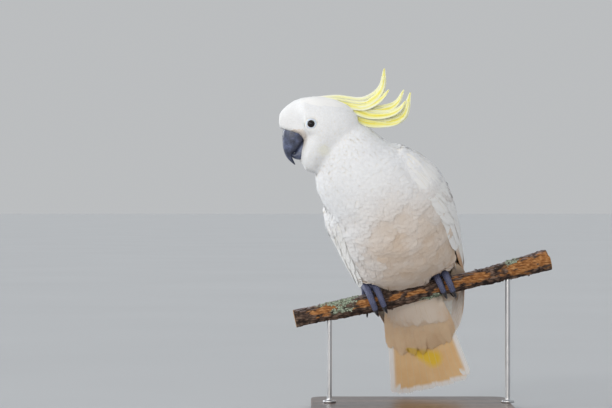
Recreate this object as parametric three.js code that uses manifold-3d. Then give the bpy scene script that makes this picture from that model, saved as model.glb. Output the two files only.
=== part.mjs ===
// A life-size sulphur-crested cockatoo (Cacatua galerita), still, gripping a short cut length of branch
// that two rods hold over a flat display base. Millimetres, +Z up, the origin at the centre of the base's
// underside. The bird's breast faces -Y, its body leans square to the sloping perch, and its head is turned
// to its own right, which is -X.
import * as THREE from "three";
import { mergeVertices } from "three/addons/utils/BufferGeometryUtils.js";
import Module from "manifold-3d";

const wasm = await Module();
wasm.setup();

// ---------------------------------------------------------------- driving dimensions
const TRIM = 0.17; // slivers thinner than this are merged after a cut
const GAP = 0.35; // clearance between neighbouring pieces
const SIDES = { left: 1, right: -1 };
const PERCH_HEIGHT = 142.5; // perch axis over the floor, midway between the feet
const BODY_ROLL = 13; // degrees: the body stands square to the perch
const BODY_YAW = 6; // degrees: the breast turns a little to the bird's right
const HEAD_TURN = 86; // degrees from -Y, to the bird's right
const HEAD_AT = [-112.6, -62, 338.6]; // skull centre over the floor

// The perch: its axis rises to the right with a slight bow; the thickness wanders along it.
const PERCH = { left: -142, right: 166, slope: 0.229, bow: 0.00012, sides: 12, rings: 22 };
const PERCH_RADII = [10.6, 10.9, 11.6, 12.0, 10.7, 10.4, 10.0, 10.6, 12.0, 12.8];
const KNOTS = [
  { along: -18, around: 190, height: 2.6, spread: 9 },
  { along: -27, around: 40, height: 2.2, spread: 6 },
  { along: 96, around: 150, height: 1.8, spread: 10 },
  { along: -98, around: 120, height: 2.0, spread: 9 },
  { along: 139, around: 60, height: 2.0, spread: 9 },
];

// The display stand.
const BASE = { length: 240, depth: 200, thickness: 12, corner: 20, edge: 1.5 };
const ROD = { radius: 3, socket: 5, left: -98, right: 116, flange: 8, flangeHeight: 3, sides: 14 };

// The body's sections from the tips of the tail coverts to the top of the neck: a centre, then how far the
// section reaches to the bird's left and right, in front and behind. The wings lie on this form, so it runs
// on past the trunk by the tail.
const BODY = [
  { name: "wing tips", at: [-3, 80, -106], left: 30, right: 30, front: 6, back: 9 },
  { name: "tail sides", at: [-2, 66, -76], left: 39, right: 39, front: 11, back: 15 },
  { name: "undertail", at: [3, 52, -46], left: 46, right: 46, front: 19, back: 23 },
  { name: "vent", at: [6, 38, -16], left: 53, right: 53, front: 26, back: 31 },
  { name: "thighs", at: [6, 21, 16], left: 60, right: 60, front: 33, back: 41 },
  { name: "belly", at: [3, 3, 48], left: 65, right: 65, front: 49, back: 48 },
  { name: "keel", at: [1, -15, 82], left: 68, right: 68, front: 57, back: 51 },
  { name: "crop", at: [-4, -32, 113], left: 67.5, right: 68.5, front: 55, back: 47 },
  { name: "shoulders", at: [-14, -47, 140], left: 59.5, right: 62, front: 50, back: 42 },
  { name: "neck base", at: [-26.5, -56, 164], left: 48, right: 56, front: 44, back: 39.5 },
  { name: "nape", at: [-36.5, -61, 187.5], left: 41, right: 40, front: 37, back: 35 },
  { name: "hind crown", at: [-47, -64.5, 210], left: 27, right: 27, front: 27, back: 25 },
];
const SECTION = { sides: 22, rings: 24, squareness: 2.15, merge: 0.004 };
const TRUNK_FROM = 5 / 24; // share of the body's sections where the trunk begins
const NECK_FROM = 18 / 24; // where the neck meets the trunk
const TRUNK_TAPER = 0.26; // share over which the trunk narrows into the tail coverts
const TRUNK_INSET = 9; // how far the tail coverts lie inside the wings

// A folded wing: shares of the body's length, angles from the breast's midline, thickness.
const WING = {
  top: 0.775, tip: 0.08, steps: 12, across: 6,
  leading: [76, 55, 64, 66, 63, 72, 96, 130],
  trailing: [100, 136, 156, 166, 171, 173, 171, 166],
  thickness: [4.5, 9, 9, 8, 6, 4, 2.4, 1.2],
  edge: 1.1, seat: 1.5, // the seat is trimmed away where the wing meets the body
};

// The tail: a fan of twelve feathers, slightly domed along its length axis.
const TAIL = {
  root: [-0.6, 33, 13], fall: 25, slant: -6, length: 153, rootWidth: 54, midWidth: 84, endWidth: 100,
  rootThick: 7, endThick: 1.3, dome: 10, feathers: 12, scallop: 3, roundness: 15, steps: 4,
};

// The head, along its own forward axis, then the bill in the same midplane.
const HEAD = [
  { name: "occiput", at: -47, lift: 2, wide: 17, up: 15, down: 18 },
  { name: "hind crown", at: -36, lift: -1, wide: 27, up: 28, down: 32 },
  { name: "crown", at: -16, lift: -2, wide: 33, up: 38.5, down: 43 },
  { name: "eyes", at: 6, lift: -4, wide: 34, up: 42.6, down: 48 },
  { name: "brow", at: 25, lift: -2, wide: 30, up: 37, down: 40 },
  { name: "forehead", at: 38, lift: 4, wide: 22, up: 22, down: 22 },
  { name: "cere", at: 45, lift: 10, wide: 11, up: 8, down: 8 },
];
const HEAD_SECTION = { sides: 20, rings: 11 };
// The feathers' edge over and behind the bill, then clear of the face: forward and up.
const FACE = [
  [60, 3], [44, 1], [35, -2.4], [23, -5.9], [16, -11.5], [17, -18],
  [19.3, -25], [20.5, -37], [15, -46], [22, -70], [60, -70],
];
const EYE = { at: [9.7, 5], radius: 6.5, proud: 1, sides: 12, rings: 6 };
const UPPER_BILL = [
  { at: [26.4, 2], deep: 12.6, wide: 10 },
  { at: [28, -6.5], deep: 14.2, wide: 11 },
  { at: [29.4, -14.5], deep: 12.8, wide: 10.4 },
  { at: [32.2, -22.5], deep: 9.8, wide: 8.6 },
  { at: [33.8, -28], deep: 5.6, wide: 6.4 },
  { at: [32.9, -33.2], deep: 3.2, wide: 4.2 },
  { at: [29.7, -37.6], deep: 1.9, wide: 2.6 },
  { at: [26.3, -42], deep: 0.6, wide: 0.7 },
];
const LOWER_BILL = [
  { at: [8, -24], deep: 8.5, wide: 9.5 },
  { at: [15, -28.5], deep: 8, wide: 9.8 },
  { at: [21.5, -31.2], deep: 5.6, wide: 8.6 },
  { at: [27, -32], deep: 3.2, wide: 6 },
  { at: [30.5, -30], deep: 0.8, wide: 3 },
];
const BILL_SECTION = { sides: 12, rings: 10 };

// The crest: each feather runs back over the crown, then curls up. Points are forward and up in the head's
// midplane.
const CREST = [
  { wide: 5.2, side: 0, path: [[6, 35], [-22, 34], [-50, 31], [-66, 37], [-76.5, 50], [-79, 71]] },
  { wide: 4.7, side: 1.6, path: [[0, 34], [-26, 31], [-52, 27], [-68, 32], [-78, 39], [-84, 46]] },
  { wide: 5.0, side: -1.6, path: [[-6, 32], [-34, 27], [-60, 22], [-80, 24], [-94, 31], [-102, 46]] },
  { wide: 4.7, side: 1.6, path: [[-8, 30], [-36, 25], [-62, 17], [-84, 18], [-97, 24], [-104, 33]] },
  { wide: 5.6, side: -1.6, path: [[-10, 28], [-36, 21], [-60, 12], [-84, 9.5], [-102, 17], [-110, 43]] },
  { wide: 5.0, side: 0, path: [[-12, 26], [-36, 17], [-58, 9], [-78, 6.5], [-92, 7], [-101, 11]] },
];
const CREST_SECTION = { thick: 1.2, rings: 7 };

// The legs and feet: two toes before the perch and two behind, each ending in a claw.
const LEG = { ankleShare: 0.12, knee: [2, -21, 32], wideAtAnkle: 13, wideAtKnee: 29, sides: 12, rings: 6 };
const FOOT_AT = { right: -45, left: 36.8 }; // along the perch
const TARSUS = { radius: 5.4, from: [0, 4, 18], to: [0, 12, 40], sides: 8, rings: 3 };
const PALM = { radius: 6.8, stretch: [1.3, 1.15, 0.95], lift: 1 };
const POCKET = { radius: 27, width: 34, shift: 1, sides: 12 }; // room in the belly feathers round a foot
// Along the perch, away from the other foot; the front toes slant one way on both feet, the back splay.
const TOES = [
  { name: "front_outer", along: 5.6, slant: 6, splay: 0, reach: 122, radius: 4.9, claw: 14.5 },
  { name: "front_inner", along: -5.4, slant: 6, splay: 0, reach: 117, radius: 4.7, claw: 13 },
  { name: "back_outer", along: 6, slant: 0, splay: 4, reach: -118, radius: 4.5, claw: 13.5 },
  { name: "back_inner", along: -5, slant: 0, splay: -3, reach: -98, radius: 4.2, claw: 12 },
];
const TOE = { sides: 6, rings: 5, tipShare: 0.72, arch: 4 };
const CLAW = { sides: 5, rings: 5, share: 0.62, bend: 38, set: 1.2 }; // set into the toe's end

// ---------------------------------------------------------------- colours
const finish = (colour, roughness, metalness = 0) =>
  new THREE.MeshStandardMaterial({ color: new THREE.Color(...colour), roughness, metalness });
const PLUMAGE = finish([0.9, 0.89, 0.85], 0.9);
const YELLOW_PLUMES = finish([0.93, 0.82, 0.2], 0.8);
const BILL_HORN = finish([0.1, 0.11, 0.14], 0.45);
const EYE_DARK = finish([0.02, 0.015, 0.015], 0.05);
const FOOT_SKIN = finish([0.17, 0.17, 0.21], 0.75);
const CLAW_HORN = finish([0.05, 0.05, 0.06], 0.4);
const BARK = finish([0.3, 0.18, 0.1], 0.9);
const STAND_BASE_FINISH = finish([0.16, 0.11, 0.08], 0.5);
const STAND_ROD_FINISH = finish([0.55, 0.55, 0.55], 0.35, 1);

// ---------------------------------------------------------------- small helpers
const { DEG2RAD, lerp, clamp, smoothstep } = THREE.MathUtils;
const vec = (x, y, z) => new THREE.Vector3(x, y, z);
const range = (n) => Array.from({ length: n }, (_, i) => i);

// A smooth function through a list of numbers spread evenly over 0..1.
const through = (numbers) => {
  const curve = new THREE.CatmullRomCurve3(numbers.map((n) => vec(n, 0, 0)), false, "catmullrom", 0.5);
  return (t) => curve.getPoint(clamp(t, 0, 1)).x;
};

// A closed geometry from rings of points, each ring wound anticlockwise as seen from where the rings are
// heading. A round ring is closed by a fan from its middle; a band's ring, a row of points and the same row
// back again, by quads across it.
function skinOver(rings, { band = false } = {}) {
  const sides = rings[0].length;
  const points = rings.flat();
  const faces = [];
  const quad = (a, b, c, d) => faces.push(a, b, c, a, c, d);
  for (let i = 0; i + 1 < rings.length; i++)
    for (let j = 0; j < sides; j++) {
      const a = i * sides + j;
      const b = i * sides + ((j + 1) % sides);
      quad(a, b, b + sides, a + sides);
    }
  const last = (rings.length - 1) * sides;
  if (band)
    for (let j = 0; j + 1 < sides / 2; j++) {
      const [near, next, farNext, far] = [j, j + 1, sides - 2 - j, sides - 1 - j];
      quad(last + near, last + next, last + farNext, last + far);
      quad(near, far, farNext, next);
    }
  else
    for (const [ring, first, order] of [[rings[0], 0, -1], [rings.at(-1), last, 1]]) {
      points.push(ring.reduce((sum, p) => sum.add(p), vec(0, 0, 0)).divideScalar(sides));
      for (let j = 0; j < sides; j++) {
        const pair = [first + j, first + ((j + 1) % sides)];
        faces.push(points.length - 1, ...(order < 0 ? pair.reverse() : pair));
      }
    }
  return new THREE.BufferGeometry().setFromPoints(points).setIndex(faces);
}

// three.js geometry to a manifold-3d solid, and back.
function solidOf(geometry, matrix = new THREE.Matrix4()) {
  const bare = new THREE.BufferGeometry();
  bare.setAttribute("position", geometry.getAttribute("position").clone());
  if (geometry.index) bare.setIndex(geometry.index);
  const merged = mergeVertices(bare.applyMatrix4(matrix), 1e-4);
  const made = new wasm.Manifold(
    new wasm.Mesh({
      numProp: 3,
      vertProperties: new Float32Array(merged.attributes.position.array),
      triVerts: new Uint32Array(merged.index.array),
    }),
  );
  if (made.volume() < 0) throw new Error("a helper made a shape that is inside out");
  return made;
}

function geometryOf(solid) {
  const mesh = solid.getMesh();
  const places = new Float32Array(mesh.numVert * 3);
  for (let i = 0; i < mesh.numVert; i++)
    places.set(mesh.vertProperties.subarray(i * mesh.numProp, i * mesh.numProp + 3), i * 3);
  const geometry = new THREE.BufferGeometry();
  geometry.setAttribute("position", new THREE.BufferAttribute(places, 3));
  return geometry.setIndex(new THREE.BufferAttribute(new Uint32Array(mesh.triVerts), 1));
}

// The largest of a solid's separate bodies: a cut can leave crumbs.
const largestBody = (solid) => solid.simplify(TRIM).decompose().sort((a, b) => b.volume() - a.volume())[0];

function named(name, geometry, material) {
  const mesh = new THREE.Mesh(geometry, material);
  mesh.name = name;
  return mesh;
}

// A round-sectioned limb along points, with a radius for each.
function limb(path, radiusAt, { sides, rings }) {
  const curve = new THREE.CatmullRomCurve3(path);
  const frames = curve.computeFrenetFrames(rings - 1, false);
  return skinOver(
    range(rings).map((i) => {
      const t = i / (rings - 1);
      const centre = curve.getPointAt(t);
      return range(sides).map((j) => {
        const angle = (j / sides) * 2 * Math.PI;
        return centre
          .clone()
          .addScaledVector(frames.normals[i], radiusAt(t) * Math.cos(angle))
          .addScaledVector(frames.binormals[i], radiusAt(t) * Math.sin(angle));
      });
    }),
  );
}

// ---------------------------------------------------------------- the frames that nest
const model = new THREE.Group();
const stand = new THREE.Group();
const bird = new THREE.Group();
bird.position.set(0, 0, PERCH_HEIGHT);
bird.rotation.order = "YZX";
bird.rotation.y = -BODY_ROLL * DEG2RAD;
bird.rotation.z = -BODY_YAW * DEG2RAD;
const head = new THREE.Group();
head.position.set(...HEAD_AT);
head.rotation.z = -HEAD_TURN * DEG2RAD; // the head stays level while the body leans
const feet = new THREE.Group();
model.add(stand, bird, head, feet);

// ---------------------------------------------------------------- body form
const bodyCentre = new THREE.CatmullRomCurve3(BODY.map((s) => vec(...s.at)), false, "catmullrom", 0.5);
const bodyLeft = through(BODY.map((s) => s.left));
const bodyRight = through(BODY.map((s) => s.right));
const bodyFront = through(BODY.map((s) => s.front));
const bodyBack = through(BODY.map((s) => s.back));

// A point on the body's form: t runs from the wing tips to the crown, angle from the breast round the
// bird's left side.
function bodyPoint(t, angle, grow = 0) {
  const tangent = bodyCentre.getTangent(t);
  const left = vec(1, 0, 0).addScaledVector(tangent, -tangent.x).normalize();
  const back = tangent.clone().cross(left);
  const power = 2 / SECTION.squareness;
  const s = Math.sin(angle);
  const c = Math.cos(angle);
  const x = Math.sign(s) * Math.abs(s) ** power * ((s > 0 ? bodyLeft(t) : bodyRight(t)) + grow);
  const y = -Math.sign(c) * Math.abs(c) ** power * ((c > 0 ? bodyFront(t) : bodyBack(t)) + grow);
  return bodyCentre.getPoint(t).addScaledVector(left, x).addScaledVector(back, y);
}

// The body from one share of its length to another, grown by grow(t). All such pieces keep to the same rings.
function bodyBetween(from, to, grow) {
  const inner = range(SECTION.rings + 1)
    .map((i) => i / SECTION.rings)
    .filter((t) => t > from + SECTION.merge && t < to - SECTION.merge);
  return skinOver(
    [from, ...inner, to].map((t) =>
      range(SECTION.sides).map((j) => bodyPoint(t, (j / SECTION.sides) * 2 * Math.PI, grow(t))),
    ),
  );
}

const trunkGrow = (t) => -TRUNK_INSET * (1 - smoothstep(t, TRUNK_FROM, TRUNK_FROM + TRUNK_TAPER));

// ---------------------------------------------------------------- head form
const headAlong = through(HEAD.map((s) => s.at));
const headLift = through(HEAD.map((s) => s.lift));
const headWide = through(HEAD.map((s) => s.wide));
const headUp = through(HEAD.map((s) => s.up));
const headDown = through(HEAD.map((s) => s.down));

function headPoint(t, angle, grow = 0) {
  const c = Math.cos(angle);
  const x = Math.sin(angle) * (headWide(t) + grow);
  const z = headLift(t) + c * ((c > 0 ? headUp(t) : headDown(t)) + grow);
  return vec(x, -headAlong(t) + (t < 0.5 ? grow : -grow), z);
}

const headForm = (grow) =>
  skinOver(
    range(HEAD_SECTION.rings).map((i) =>
      range(HEAD_SECTION.sides).map((j) =>
        headPoint(i / (HEAD_SECTION.rings - 1), (-j / HEAD_SECTION.sides) * 2 * Math.PI, grow),
      ),
    ),
  );

// A mandible: oval sections square to its own line in the head's midplane.
function mandible(sections, grow) {
  const { sides, rings } = BILL_SECTION;
  const line = new THREE.CatmullRomCurve3(sections.map((s) => vec(0, -s.at[0], s.at[1])));
  const deep = through(sections.map((s) => s.deep));
  const wide = through(sections.map((s) => s.wide));
  return skinOver(
    range(rings).map((i) => {
      const t = i / (rings - 1);
      const tangent = line.getTangent(t);
      const square = vec(1, 0, 0).cross(tangent);
      return range(sides).map((j) => {
        const angle = (j / sides) * 2 * Math.PI;
        return line
          .getPoint(t)
          .add(vec(Math.cos(angle) * (wide(t) + grow), 0, 0))
          .addScaledVector(square, -Math.sin(angle) * (deep(t) + grow));
      });
    }),
  );
}

// A crest feather: a flat tapering band on edge beside the midplane.
function crestFeather({ wide, side, path }) {
  const line = new THREE.CatmullRomCurve3(path.map(([forward, up]) => vec(side, -forward, up)));
  const { thick: full, rings } = CREST_SECTION;
  return skinOver(
    range(rings).map((i) => {
      const t = i / (rings - 1);
      const tangent = line.getTangent(t);
      const up = vec(1, 0, 0).cross(tangent).normalize();
      const swell = 0.45 + 0.55 * Math.sin(Math.PI * Math.min(1, 0.25 + t * 0.75));
      const half = wide * swell * (t > 0.97 ? 0.35 : 1);
      const thick = full * lerp(1.6, 0.6, t);
      const centre = line.getPoint(t);
      return [[1, -0.6], [0, -1], [-1, -0.6], [-1, 0.6], [0, 1], [1, 0.6]].map(([a, b]) =>
        centre.clone().add(vec(b * thick, 0, 0)).addScaledVector(up, -a * half),
      );
    }),
  );
}

// ---------------------------------------------------------------- wings
function wingForm(sign) {
  const leading = through(WING.leading);
  const trailing = through(WING.trailing);
  const thickness = through(WING.thickness);
  const grid = (outer) =>
    range(WING.steps + 1).map((i) => {
      const u = i / WING.steps;
      const t = lerp(WING.top, WING.tip, u);
      return range(WING.across + 1).map((j) => {
        const v = j / WING.across;
        const crown = Math.sin(Math.PI * v) ** 0.6;
        const off = outer ? GAP + WING.edge + (thickness(u) - WING.edge) * crown : -WING.seat;
        return bodyPoint(t, sign * lerp(leading(u), trailing(u), v) * DEG2RAD, off);
      });
    });
  const outer = grid(true);
  const inner = grid(false);
  const rings = outer.map((row, i) => [...row, ...[...inner[i]].reverse()]);
  if (sign > 0) rings.forEach((ring) => ring.reverse());
  return skinOver(rings, { band: true });
}

// ---------------------------------------------------------------- tail
function tailForm(grow = 0) {
  const fall = TAIL.fall * DEG2RAD;
  const down = vec(0, Math.sin(fall), -Math.cos(fall));
  const back = vec(0, Math.cos(fall), Math.sin(fall));
  const width = through([TAIL.rootWidth, TAIL.midWidth, TAIL.endWidth]);
  const across = TAIL.feathers * 2;
  const { steps } = TAIL;
  const place = (u, v, side) => {
    const lobe = Math.abs(Math.cos((v * 0.5 * TAIL.feathers) * Math.PI)) ** 0.7;
    const reach = TAIL.length - TAIL.roundness * v ** 4 - TAIL.scallop * (1 - lobe);
    const half = lerp(TAIL.rootThick, TAIL.endThick, u ** 0.6) / 2 + grow;
    return vec(...TAIL.root)
      .addScaledVector(down, u * reach + (u > 0.99 ? grow : 0))
      .addScaledVector(back, side * half - TAIL.dome * v * v * u)
      .add(vec(v * (width(u) / 2 + grow) + TAIL.slant * u, 0, 0));
  };
  return skinOver(
    range(steps + 1).map((i) => {
      const u = i / steps;
      const front = range(across + 1).map((j) => place(u, 1 - (2 * j) / across, -1));
      const behind = range(across + 1).map((j) => place(u, -1 + (2 * j) / across, 1));
      return [...front, ...behind];
    }),
    { band: true },
  );
}

// ---------------------------------------------------------------- perch
const perchAxis = (x) => vec(x, 0, PERCH.slope * x + PERCH.bow * x * x);
const perchRadii = through(PERCH_RADII);
const perchRadius = (x) => perchRadii((x - PERCH.left) / (PERCH.right - PERCH.left));
const perchSlope = (x) => Math.atan(PERCH.slope + 2 * PERCH.bow * x);

function perchForm() {
  const { sides, rings } = PERCH;
  return skinOver(
    range(rings).map((i) => {
      const x = lerp(PERCH.left, PERCH.right, i / (rings - 1));
      const slope = perchSlope(x);
      return range(sides).map((j) => {
        const angle = (j / sides) * 2 * Math.PI;
        const knots = KNOTS.reduce((sum, knot) => {
          const aside = angle - knot.around * DEG2RAD;
          const turn = Math.atan2(Math.sin(aside), Math.cos(aside));
          const away = Math.hypot(x - knot.along, turn * perchRadius(x)) / knot.spread;
          return sum + knot.height * Math.exp(-away * away * 2);
        }, 0);
        const ripple = 0.35 * Math.sin(3 * angle + x * 0.05) + 0.25 * Math.sin(x * 0.13 + 2 * angle);
        const r = perchRadius(x) + knots + ripple;
        const across = vec(-Math.sin(slope), 0, Math.cos(slope)).multiplyScalar(r * Math.cos(angle));
        return perchAxis(x).add(across).add(vec(0, -r * Math.sin(angle), 0));
      });
    }),
  );
}

// ---------------------------------------------------------------- feet
// A foot's frame: X along the perch, Y behind it, Z square to it.
function footFrame(along) {
  const frame = new THREE.Group();
  const world = perchAxis(along).add(vec(0, 0, PERCH_HEIGHT));
  frame.position.copy(world);
  frame.rotation.y = -perchSlope(along);
  return frame;
}

// A point on a toe: angles are measured from the top of the perch, positive towards the breast side.
function toePoint(toe, hold, share) {
  const angle = toe.reach * share * DEG2RAD;
  const r = hold + toe.radius + GAP + TOE.arch * (1 - share) ** 3;
  return vec(toe.along + toe.drift * share, -r * Math.sin(angle), r * Math.cos(angle));
}

function toeForm(toe, hold, grow = 0) {
  const path = range(7).map((i) => toePoint(toe, hold, i / 6));
  return limb(path, (t) => toe.radius * lerp(1, TOE.tipShare, t) + grow, TOE);
}

const shinForm = (grow) =>
  limb([vec(...TARSUS.from), vec(...TARSUS.to)], () => TARSUS.radius + grow, TARSUS);

const palmForm = (hold) =>
  new THREE.SphereGeometry(PALM.radius, 10, 6)
    .scale(...PALM.stretch)
    .translate(0, 0, hold + PALM.lift + PALM.radius * PALM.stretch[2]);

// A claw leaves the toe's end straight on and bends a little towards the perch.
function clawForm(toe, hold, grow = 0) {
  const end = toePoint(toe, hold, 1);
  const heading = end.clone().sub(toePoint(toe, hold, 0.93)).normalize();
  const start = end.clone().addScaledVector(heading, -CLAW.set - grow);
  const inward = vec(0, -start.y, -start.z).normalize();
  const bend = CLAW.bend * DEG2RAD;
  const path = range(4).map((i) => {
    const s = i / 3;
    const turn = (bend * s) / 2;
    return start.clone()
      .addScaledVector(heading, toe.claw * s * Math.cos(turn))
      .addScaledVector(inward, toe.claw * s * Math.sin(turn));
  });
  return limb(path, (t) => toe.radius * CLAW.share * (1 - t) ** 0.7 + 0.35 + grow, CLAW);
}

// ---------------------------------------------------------------- stand
function baseForm() {
  const { length, depth, corner, edge, thickness } = BASE;
  const outline = new THREE.Shape();
  const x = length / 2 - edge - corner;
  const y = depth / 2 - edge - corner;
  outline.absarc(x, y, corner, 0, Math.PI / 2);
  outline.absarc(-x, y, corner, Math.PI / 2, Math.PI);
  outline.absarc(-x, -y, corner, Math.PI, 1.5 * Math.PI);
  outline.absarc(x, -y, corner, 1.5 * Math.PI, 2 * Math.PI);
  const geometry = new THREE.ExtrudeGeometry(outline, {
    depth: thickness - 2 * edge, bevelThickness: edge, bevelSize: edge, bevelSegments: 1, curveSegments: 4,
  });
  return geometry.translate(0, 0, edge);
}

// A rod with a flange where it stands on the base.
function rodForm(top, grow = 0) {
  const profile = [
    [0, -grow], [ROD.flange + grow, -grow], [ROD.flange + grow, ROD.flangeHeight + grow],
    [ROD.radius + grow, ROD.flangeHeight + grow + 1], [ROD.radius + grow, top + grow], [0, top + grow],
  ];
  const outline = profile.map(([r, z]) => new THREE.Vector2(r, z));
  return new THREE.LatheGeometry(outline, ROD.sides).rotateX(Math.PI / 2);
}

// ---------------------------------------------------------------- put together
model.updateMatrixWorld(true);
const intoBird = bird.matrixWorld.clone().invert();

// Feet and claws come first, because the perch, the legs and the trunk make room for them.
const perchRooms = [];
const pockets = {};
const shins = {};
const ankles = {};
for (const side of Object.keys(SIDES)) {
  const along = FOOT_AT[side];
  const hold = perchRadius(along) + 0.4;
  const frame = footFrame(along);
  feet.add(frame);
  feet.updateMatrixWorld(true);
  const outward = SIDES[side];
  const toes = TOES.map((toe) => ({
    ...toe, along: toe.along * outward, drift: toe.slant + toe.splay * outward,
  }));
  const claws = toes.map((toe) => solidOf(clawForm(toe, hold)));
  const clawRooms = toes.map((toe) => clawForm(toe, hold, GAP));
  const toeRooms = toes.map((toe) => toeForm(toe, hold, GAP));
  const palm = solidOf(shinForm(0)).add(solidOf(palmForm(hold)));
  const foot = toes.reduce((sum, toe) => sum.add(solidOf(toeForm(toe, hold))), palm);
  const clear = clawRooms.reduce((rest, room) => rest.subtract(solidOf(room)), foot);
  frame.add(named(`foot_${side}`, geometryOf(largestBody(clear)), FOOT_SKIN));
  claws.forEach((claw, i) => frame.add(named(`claw_${side}_${toes[i].name}`, geometryOf(claw), CLAW_HORN)));
  perchRooms.push(...[...toeRooms, ...clawRooms].map((room) => solidOf(room, frame.matrixWorld)));
  const intoBirdFromFoot = intoBird.clone().multiply(frame.matrixWorld);
  shins[side] = solidOf(shinForm(GAP), intoBirdFromFoot);
  ankles[side] = vec(...TARSUS.from).lerp(vec(...TARSUS.to), LEG.ankleShare).applyMatrix4(intoBirdFromFoot);
  const drum = new THREE.CylinderGeometry(POCKET.radius, POCKET.radius, POCKET.width, POCKET.sides)
    .rotateZ(Math.PI / 2)
    .translate(POCKET.shift, 0, 0);
  pockets[side] = solidOf(drum, intoBirdFromFoot);
}

// The stand, with sockets in the perch for its rods.
const rodTop = (x) => perchAxis(x).z + PERCH_HEIGHT - perchRadius(x) + ROD.socket - BASE.thickness;
const rodAt = (x) => new THREE.Matrix4().makeTranslation(x, 0, BASE.thickness);
stand.add(named("stand_base", baseForm(), STAND_BASE_FINISH));
for (const [name, x] of [["stand_rod_left", ROD.left], ["stand_rod_right", ROD.right]]) {
  const rod = named(name, rodForm(rodTop(x)), STAND_ROD_FINISH);
  rod.position.set(x, 0, BASE.thickness);
  stand.add(rod);
}

const perchMatrix = new THREE.Matrix4().makeTranslation(0, 0, PERCH_HEIGHT);
let perch = solidOf(perchForm(), perchMatrix);
for (const room of perchRooms) perch = perch.subtract(room);
for (const x of [ROD.left, ROD.right]) perch = perch.subtract(solidOf(rodForm(rodTop(x), GAP), rodAt(x)));
model.add(named("perch", geometryOf(largestBody(perch)), BARK));
const perchRoom = solidOf(
  skinOver([-75, 95].map((x) => range(16).map((j) => {
    const angle = (j / 16) * 2 * Math.PI;
    const r = perchRadius(x) + 1.8;
    return perchAxis(x).add(vec(0, -r * Math.sin(angle), r * Math.cos(angle) + PERCH_HEIGHT));
  }))),
  intoBird,
);

// The body: the head keeps its whole form, and the neck and trunk fit round it.
const headInBird = intoBird.clone().multiply(head.matrixWorld);
const bill = [
  ["bill_upper", solidOf(mandible(UPPER_BILL, 0)), solidOf(mandible(UPPER_BILL, GAP))],
  ["bill_lower", solidOf(mandible(LOWER_BILL, 0)), solidOf(mandible(LOWER_BILL, GAP))],
];
const lower = largestBody(bill[1][1].subtract(bill[0][2]));
const eyeAt = (sign, grow = 0) => {
  const t = range(101).map((i) => i / 100).find((s) => headAlong(s) >= EYE.at[0]);
  const up = (EYE.at[1] - headLift(t)) / headUp(t);
  const side = headWide(t) * Math.sqrt(1 - up * up) - EYE.radius + EYE.proud;
  const ball = new THREE.SphereGeometry(EYE.radius + grow, EYE.sides, EYE.rings);
  return ball.translate(sign * side, -EYE.at[0], EYE.at[1]);
};
const faceOutline = new THREE.Shape(FACE.map(([forward, up]) => new THREE.Vector2(forward, up)));
const faceRoom = new THREE.ExtrudeGeometry(faceOutline, { depth: 90, bevelEnabled: false })
  .translate(0, 0, -45)
  .applyMatrix4(new THREE.Matrix4().makeBasis(vec(0, -1, 0), vec(0, 0, 1), vec(-1, 0, 0)));
let skull = solidOf(headForm(0)).subtract(solidOf(faceRoom));
for (const [, , room] of bill) skull = skull.subtract(room);
for (const sign of [1, -1]) skull = skull.subtract(solidOf(eyeAt(sign, GAP)));
skull = largestBody(skull);
const skullRoom = solidOf(headForm(GAP), headInBird);

const crest = CREST.map((feather) => solidOf(crestFeather(feather)))
  .reduce((sum, feather) => sum.add(feather))
  .subtract(solidOf(headForm(GAP)))
  .subtract(solidOf(bodyBetween(NECK_FROM, 1, () => GAP), headInBird.clone().invert()));
head.add(
  named("head", geometryOf(skull), PLUMAGE),
  named("bill_upper", geometryOf(bill[0][1]), BILL_HORN),
  named("bill_lower", geometryOf(lower), BILL_HORN),
  named("eye_left", eyeAt(1), EYE_DARK),
  named("eye_right", eyeAt(-1), EYE_DARK),
  named("crest", geometryOf(largestBody(crest)), YELLOW_PLUMES),
);

const tail = solidOf(tailForm());
const tailRoom = solidOf(tailForm(GAP));
const bodyRoom = solidOf(bodyBetween(0, 1, () => GAP));
for (const [side, sign] of Object.entries(SIDES)) {
  const rooms = [bodyRoom, tailRoom, skullRoom, perchRoom, pockets[side]];
  const wing = rooms.reduce((rest, room) => rest.subtract(room), solidOf(wingForm(sign)));
  bird.add(named(`wing_${side}`, geometryOf(largestBody(wing)), PLUMAGE));
}
bird.add(named("tail", geometryOf(tail), PLUMAGE));

// The legs: feathered thighs round the shins, let into the trunk.
const thighForm = (side, grow) => {
  const ankle = ankles[side];
  const [inward, behind, above] = LEG.knee;
  const knee = ankle.clone().add(vec(-SIDES[side] * inward, behind, above));
  const swell = (t) => lerp(LEG.wideAtAnkle, LEG.wideAtKnee, Math.sin((t * Math.PI) / 2));
  const radiusAt = (t) => swell(t) * Math.sqrt(Math.max(0.08, 1 - t ** 6)) + grow;
  return limb([ankle, ankle.clone().lerp(knee, 0.5), knee], radiusAt, LEG);
};
const trunkForm = solidOf(bodyBetween(TRUNK_FROM, NECK_FROM, trunkGrow));
let trunk = trunkForm.subtract(tailRoom).subtract(perchRoom);
for (const side of Object.keys(SIDES)) {
  const room = shins[side].add(pockets[side]).add(perchRoom);
  const leg = solidOf(thighForm(side, 0)).intersect(trunkForm).subtract(room);
  trunk = trunk.subtract(solidOf(thighForm(side, GAP))).subtract(room);
  bird.add(named(`leg_${side}`, geometryOf(largestBody(leg)), PLUMAGE));
}
bird.add(named("trunk", geometryOf(largestBody(trunk)), PLUMAGE));
const neckTurn = new THREE.Quaternion().setFromUnitVectors(vec(0, 0, 1), bodyCentre.getTangent(NECK_FROM));
const belowNeck = new THREE.BoxGeometry(300, 300, 200)
  .translate(0, 0, GAP - 100)
  .applyQuaternion(neckTurn)
  .translate(...bodyCentre.getPoint(NECK_FROM).toArray());
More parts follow.
